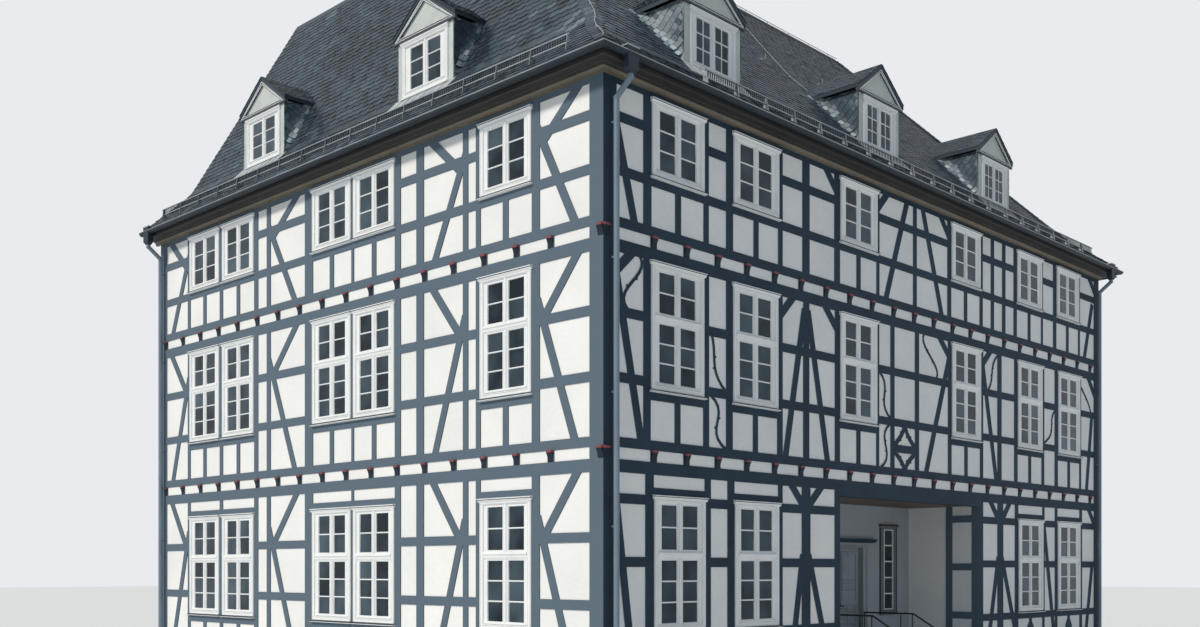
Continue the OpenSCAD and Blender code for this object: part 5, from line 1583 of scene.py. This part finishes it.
@dataclass
class SnowGuards:
    """The fine upright bars between the two rails of each snow guard."""

    pitch: float = 0.062
    bar: float = 0.007
    down: float = 0.17

    def build(self) -> None:
        """Adds a square bar each few centimetres along both guards."""
        shell = Shell()
        for box in islands("snow_guards"):
            size = box[1] - box[0]
            axis = 0 if size[0] > size[1] else 1
            place = np.arange(box[0][axis] + 0.03, box[1][axis] - 0.02, self.pitch)
            middle = np.tile(box.mean(axis=0), (len(place), 1))
            middle[:, axis] = place
            low, high = middle - self.bar, middle + self.bar
            low[:, 2], high[:, 2] = box[1][2] - self.down, box[1][2] - 0.004
            shell.blocks(low, high)
        shell.piece("snow_guard_bars", ZINC, Slot.ZINC)


@dataclass
class DormerTrim:
    """Lead aprons before the dormers and the beads of their gables."""

    strips: int = 7
    apron_over: float = 0.1

    def build(self) -> None:
        """Makes the aprons and the beads."""
        apron, trim = Shell(), Shell()
        for dormer in dormers():
            self._apron(apron, dormer)
            self._gable_beads(trim, dormer)
        apron.piece("dormer_aprons", LEAD, Slot.ZINC)
        trim.piece("dormer_gable_beads", WINDOW_PAINT, Slot.PAINTED)

    def _apron(self, shell: Shell, dormer: Dormer) -> None:
        """Lays sheets of lead down the slope from the sill, side by side with a raised joint.

        Args:
            shell: where the sheets go.
            dormer: the dormer.
        """
        facing, height = dormer.place.facing, dormer.slope.height
        reach = dormer.half + self.apron_over
        edge = np.linspace(-reach, reach, self.strips + 1)
        deep = np.array([-0.01, 0.13, 0.27])
        z = height(dormer.back - deep) - dormer.sill
        lift = np.array([0.05, 0.034, 0.03])
        upper = np.stack([deep, z + lift + 0.006], -1)
        lower = np.stack([deep, z + lift], -1)[::-1]
        outline = np.concatenate([upper, lower])[:, ::-1]
        shell.bars(facing, edge[:-1] + 0.006, edge[1:] - 0.006, 0.0, outline)
        roll = np.concatenate([upper + [0, 0.012], lower])[:, ::-1]
        shell.bars(facing, edge[1:-1] - 0.007, edge[1:-1] + 0.007, 0.0, roll)

    @staticmethod
    def _gable_beads(shell: Shell, dormer: Dormer) -> None:
        """Adds a raised fillet along the raking and level mouldings of the gable.

        A triangle's outline carries a small section, whose inner points lie a share of the way from
        the triangle's middle to its corners, so the mitres close.

        Args:
            shell: where the fillets go.
            dormer: the dormer.
        """
        wide, top = dormer.half + dormer.over, dormer.eave - dormer.sill
        fall = dormer.rise / wide
        for inset, face in ((0.03, 0.062), (0.075, 0.053)):
            a = wide - 0.02 - inset * 1.6
            corners = np.array([[-a, top - 0.062 + inset], [a, top - 0.062 + inset],
                                [0.0, top + dormer.rise - 0.012 - inset * math.hypot(1, fall)]])
            middle = corners.mean(axis=0)
            inner = middle + (corners - middle) * 0.965
            section = [np.column_stack([flat, np.full(3, d)])
                       for flat, d in ((corners, 0.04), (corners, face), (inner, face), (inner, 0.04))]
            points = np.stack(section, axis=1).reshape(-1, 3)
            shell.loft(dormer.place.facing.world(points), len(section), closed=True)


@dataclass
class Cables:
    """Conductor cables on the near hip, the ridge and the front slope, and two roof hooks."""

    radius: float = 0.009
    slope_radius: float = 0.007
    hook_radius: float = 0.012
    lift: float = 0.11
    stop: float = 0.08
    steps: int = 26

    def build(self) -> None:
        """Runs the cables along the ridge, down the near hip and down the slope, and sets the hooks."""
        shell = Shell()
        levels = np.linspace(ROOF.long.eave[1] + 0.05, ROOF.long.ridge[1] - self.stop, self.steps)
        hip = np.stack([ROOF.steep.behind(levels), ROOF.long.behind(levels), levels], -1)
        plan = np.array([CORNER[0], CORNER[1], 0.0])
        share = np.linspace(0, 1, self.steps)[:, None]
        ridge = hip[-1] + share * [ROOF.front_len - 2 * hip[-1, 0], 0, 0]
        for line in (hip, ridge):
            path = plan + line + [0, 0, self.lift]
            shell.loft(tube(path, self.radius, 6), 6)
            holders = path[::2]
            low = holders - [0.006, 0.006, self.lift - 0.02]
            shell.blocks(low, holders + [0.006, 0.006, 0.004])
        fall = np.array([[10.05, 4.77, 16.31], [9.56, 3.7, 15.19], [9.19, 2.8, 14.26],
                         [9.34, 2.39, 13.84]])
        shell.loft(tube(plan + fall, self.slope_radius, 6), 6)
        bend = np.array([[0, 0.1, 0.1], [0, 0.0, 0.06], [0, -0.05, 0.05], [0, -0.08, 0.1],
                         [0, -0.07, 0.16]])
        for spot in ([8.47, 3.04, 14.45], [11.14, 3.27, 14.69]):
            shell.loft(tube(plan + spot + bend, self.hook_radius, 6, np.array([1.0, 0.0, 0.0])), 6)
        shell.piece("conductor_cables", BARE_ZINC_AND_HIGHLIGHT, Slot.ZINC)


@dataclass
class Porch:
    """Door panels, reeded bands, the handle, the trim of the narrow windows and the stair scrolls.

    Heights of the door's trim are measured from the foot of its leaf.
    """

    sill_out: float = 0.07
    stile: float = 0.12
    edge: float = 0.014
    lock_rail: tuple[float, float] = (0.48, 0.94)
    foot_rail: float = 0.2
    head_rail: float = 0.16
    reed_tops: tuple[float, float] = (1.51, 0.83)
    reed_margins: tuple[float, float] = (0.18, 0.07)
    reed_pitch: float = 0.075
    reeds: int = 4
    handle_in: float = 0.05
    handle_up: float = 0.91
    pane_count: int = 5
    scroll_r: float = 0.085
    scroll_steps: int = 22

    def build(self) -> None:
        """Makes the pieces of the porch."""
        for side in ("left", "right"):
            self._leaf(side)
        self._frame_trim()
        self._narrow_windows()
        self._rails()

    def _leaf(self, side: str) -> None:
        """Dresses one leaf: ringed panels with raised fields, bands of reeds and a framed swag.

        Args:
            side: left or right.
        """
        low, high = (np.array(v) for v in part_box("door_leaf_" + side))
        facing = Facing(((low[0] + high[0]) / 2, low[1], low[2]), (0.0, -1.0, 0.0))
        half, tall = (high[0] - low[0]) / 2 - self.edge, high[2] - low[2]
        reach, shell = half - self.stile, Shell()
        panels = np.array([[-reach, self.foot_rail, reach, self.lock_rail[0]],
                           [-reach, self.lock_rail[1], reach, tall - self.head_rail]])
        ring = np.array([[0.03, -0.001], [0.028, 0.012], [0.016, 0.02], [0.002, 0.014],
                         [-0.012, 0.004], [-0.014, -0.017], [0.03, -0.017]])
        shell.frames(facing, panels, ring)
        field_low = np.column_stack([panels[:, :2] + 0.05, [-0.017] * 2])
        field_high = np.column_stack([panels[:, 2:] - 0.05, [0.004] * 2])
        shell.blocks(field_low, field_high, facing)
        reed = bead(0.032, 0.019, 0.0, -0.001)
        for top, margin in zip(self.reed_tops, self.reed_margins):
            rows = top - np.arange(self.reeds) * self.reed_pitch
            shell.bars(facing, -half + margin, half - margin, rows, reed)
        swag = np.array([[-0.055, tall - 0.33, 0.055, tall - 0.22]])
        shell.frames(facing, swag, bead(0.014, 0.008, 0.0, 0.003))
        shell.piece("door_panels_" + side, DOOR_PAINT, Slot.DOOR, side + "_leaf")
        if side == "right":
            self._handle(facing, -half + self.handle_in)

    def _handle(self, facing: Facing, u: float) -> None:
        """Adds the plate and the lever, a rod that bends out of the plate and along the leaf.

        Args:
            facing: the right leaf's outer face.
            u: the middle of the plate.
        """
        handle, z = Shell(), self.handle_up
        handle.blocks([u - 0.024, z - 0.12, 0.0], [u + 0.024, z + 0.09, 0.008], facing)
        turn = np.linspace(0, math.pi / 2, 6)
        bend = np.column_stack([u + 0.03 * (1 - np.cos(turn)), 0 * turn + z, 0.02 + 0.03 * np.sin(turn)])
        lever = np.vstack([[[u, z, 0.004]], bend, [[u + 0.08, z, 0.05], [u + 0.13, z - 0.004, 0.048]]])
        radius = [0.016, 0.016, 0.015, 0.015, 0.015, 0.015, 0.015, 0.015, 0.012]
        handle.loft(facing.world(tube(lever, radius, 8, np.array([0.0, 1.0, 0.0]))), 8)
        handle.piece("door_handle", IRON, Slot.IRON, "right_leaf")

    @staticmethod
    def _frame_trim() -> None:
        """Adds the moulding up one side of the door frame, over its head and down the other."""
        low, high = (np.array(v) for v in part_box("door_frame"))
        facing = Facing(((low[0] + high[0]) / 2, low[1], low[2]), (0.0, -1.0, 0.0))
        half, tall = (high[0] - low[0]) / 2, high[2] - low[2]
        outer = np.array([[0.0, -0.001], [0.0, 0.03], [-0.012, 0.036], [-0.03, 0.022], [-0.04, -0.001]])
        rect = np.array([[-half + 0.01, -0.3, half - 0.01, tall - 0.09]])
        points = frame_ring(rect, outer)[0].reshape(4, 5, 3)
        points[:2, :, 1] = 0.02
        shell = Shell()
        shell.loft(facing.world(points[[0, 3, 2, 1]].reshape(-1, 3)), len(outer))
        shell.piece("door_frame_moulding", FRAME_PAINT, Slot.DOOR)

    def _narrow_windows(self) -> None:
        """Adds the dark outline and cap, the white sash bars and the panes of the two narrow windows."""
        dark, white, glass = Shell(), Shell(), Shell()
        edge = np.array([[0.004, -0.002], [0.004, 0.03], [-0.014, 0.03], [-0.014, -0.002]])
        cap = np.array([[-0.02, 0.0], [-0.02, 0.058], [0.004, 0.066], [0.016, 0.066], [0.016, 0.0]])
        sash = np.array([[0.012, 0.016], [0.012, 0.026], [-0.012, 0.026], [-0.012, -0.01],
                         [-0.004, -0.01], [0.0, 0.016]])
        bar = np.array([[-0.018, 0.018], [-0.012, 0.027], [0.012, 0.027], [0.018, 0.018]])
        for box in islands("porch_windows"):
            origin = ((box[0][0] + box[1][0]) / 2, box[0][1] + self.sill_out, box[0][2] + 0.032)
            facing = Facing(origin, (0.0, -1.0, 0.0))
            half, tall = (box[1][0] - box[0][0]) / 2 - 0.03, box[1][2] - box[0][2] - 0.04
            dark.frames(facing, np.array([[-half, 0.0, half, tall]]), edge)
            dark.bars(facing, -half - 0.036, half + 0.036, tall, cap)
            pane = (tall - 2 * CASING_W) / self.pane_count
            foot = CASING_W + pane * np.arange(self.pane_count)
            white.frames(facing, np.array([[-0.2, CASING_W + 0.015, 0.2, tall - CASING_W - 0.015]]), sash)
            white.bars(facing, -0.19, 0.19, foot[1:], bar)
            low = np.stack([0 * foot - 0.199, foot + 0.016, 0 * foot - 0.004], -1)
            high = np.stack([0 * foot + 0.199, foot + pane - 0.016, 0 * foot], -1)
            # Listed pane tones; the lighter ones show a painted reflection of the sky
            glass.blocks(low, high, facing, np.array([-0.3, 0.4, 0.0, -0.5, 0.2]))
        dark.piece("porch_window_outlines", EAVES_BOARD, Slot.PAINTED)
        white.piece("porch_window_sashes", WINDOW_PAINT, Slot.PAINTED)
        glass.piece("porch_window_panes", GLASS, Slot.GLASS)

    def _rails(self) -> None:
        """Adds the scrolls at the feet of the stair rails.

        A scroll is an arc whose radius shrinks as it turns: r = r0 (1 - k a).
        """
        shell, steps = Shell(), self.scroll_steps
        for box in islands("stair_rails"):
            if box[1][2] - box[0][2] < 0.8:
                continue
            x = (box[0][0] + box[1][0]) / 2
            front, high = box[0][1] + 0.02, box[0][2] + 0.75
            turn = np.linspace(0, 1.6 * math.pi, steps)
            radius = self.scroll_r * (1 - 0.1 * turn)
            path = np.column_stack([np.full(steps, x), front - 0.002 - radius * np.sin(turn) * 0.9,
                                    high - self.scroll_r + radius * np.cos(turn)])
            shell.loft(tube(path, 0.011, 8, np.array([1.0, 0.0, 0.0])), 8)
        if shell.count:
            shell.piece("stair_rail_scrolls", IRON, Slot.IRON, smooth=True)


@dataclass
class Studio:
    """Camera, lamps, pale floor and world."""

    eye: tuple[float, float, float] = (-24.485, -21.205, 2.75)
    turn_deg: float = -45.9
    lens_mm: float = 36.61
    shift_up: float = 0.2123
    floor_half: float = 160.0
    floor_colour: str = "#eef0f1"
    sky_colour: str = "#cfe0f0"
    sky_strength: float = 0.38
    sun_strength: float = 2.7
    sun_from: tuple[float, float, float] = (-0.80, 0.10, 0.72)
    sun_soft_deg: float = 9.0

    def build(self) -> None:
        """Makes the camera, the sun, the world and the floor."""
        self._camera()
        self._sun()
        self._world()
        self._floor()

    def _camera(self) -> None:
        """Stands the camera level, with the frame shifted up as in the view that was measured."""
        data = bpy.data.cameras.new("camera")
        data.lens, data.sensor_width, data.shift_y = self.lens_mm, 36.0, self.shift_up
        data.clip_end = 500.0
        thing = bpy.data.objects.new("camera", data)
        thing.location = self.eye
        thing.rotation_euler = (math.pi / 2, 0.0, math.radians(self.turn_deg))
        bpy.context.scene.collection.objects.link(thing)
        bpy.context.scene.camera = thing

    def _sun(self) -> None:
        """A soft key light from the left, a little behind the front."""
        data = bpy.data.lights.new("key", "SUN")
        data.energy, data.angle = self.sun_strength, math.radians(self.sun_soft_deg)
        data.color = linear("#fff6ea")[:3]
        thing = bpy.data.objects.new("key", data)
        thing.rotation_euler = Vector(self.sun_from).to_track_quat("Z", "Y").to_euler()
        bpy.context.scene.collection.objects.link(thing)

    def _world(self) -> None:
        """Cool soft light from all round, and a pale backdrop for the camera and for reflections."""
        world = bpy.data.worlds.new("studio")
        world.use_nodes = True
        tree = world.node_tree
        tree.nodes.clear()
        fill = add_node(tree, "Background", inputs={
            "Color": linear(self.sky_colour), "Strength": self.sky_strength})
        back = add_node(tree, "Background", inputs={"Color": linear("#e9ebee"), "Strength": 1.0})
        path = add_node(tree, "LightPath")
        seen = add_node(tree, "Math", {"operation": "MAXIMUM"}, {
            0: path.outputs["Is Camera Ray"], 1: path.outputs["Is Glossy Ray"]})
        both = add_node(tree, "Math", {"operation": "MAXIMUM"}, {
            0: seen.outputs["Value"], 1: path.outputs["Is Transmission Ray"]})
        mix = add_node(tree, "MixShader", inputs={
            0: both.outputs["Value"], 1: fill.outputs["Background"], 2: back.outputs["Background"]})
        add_node(tree, "OutputWorld", inputs={"Surface": mix.outputs["Shader"]})
        bpy.context.scene.world = world

    def _floor(self) -> None:
        """A plain pale floor at ground level."""
        half = self.floor_half
        mesh = bpy.data.meshes.new("floor")
        mesh.from_pydata([(-half, -half, 0), (half, -half, 0), (half, half, 0), (-half, half, 0)], [],
                         [(0, 1, 2, 3)])
        made = bpy.data.materials.new("studio_floor")
        made.use_nodes = True
        shader = made.node_tree.nodes["Principled BSDF"]
        shader.inputs["Base Color"].default_value = linear(self.floor_colour)
        shader.inputs["Roughness"].default_value = 0.9
        mesh.materials.append(made)
        thing = bpy.data.objects.new("floor", mesh)
        bpy.context.scene.collection.objects.link(thing)


def main() -> None:
    """Builds the looks in order."""
    logging.basicConfig(level=logging.INFO, format="%(message)s")
    bpy.context.scene.view_settings.view_transform = "Standard"
    Studio().build()
    dress_nodes()
    SlateRoof().build()
    Windows().build()
    Eaves().build()
    BeamEnds().build()
    SnowGuards().build()
    DormerTrim().build()
    Cables().build()
    Porch().build()


if __name__ == "__main__":
    main()
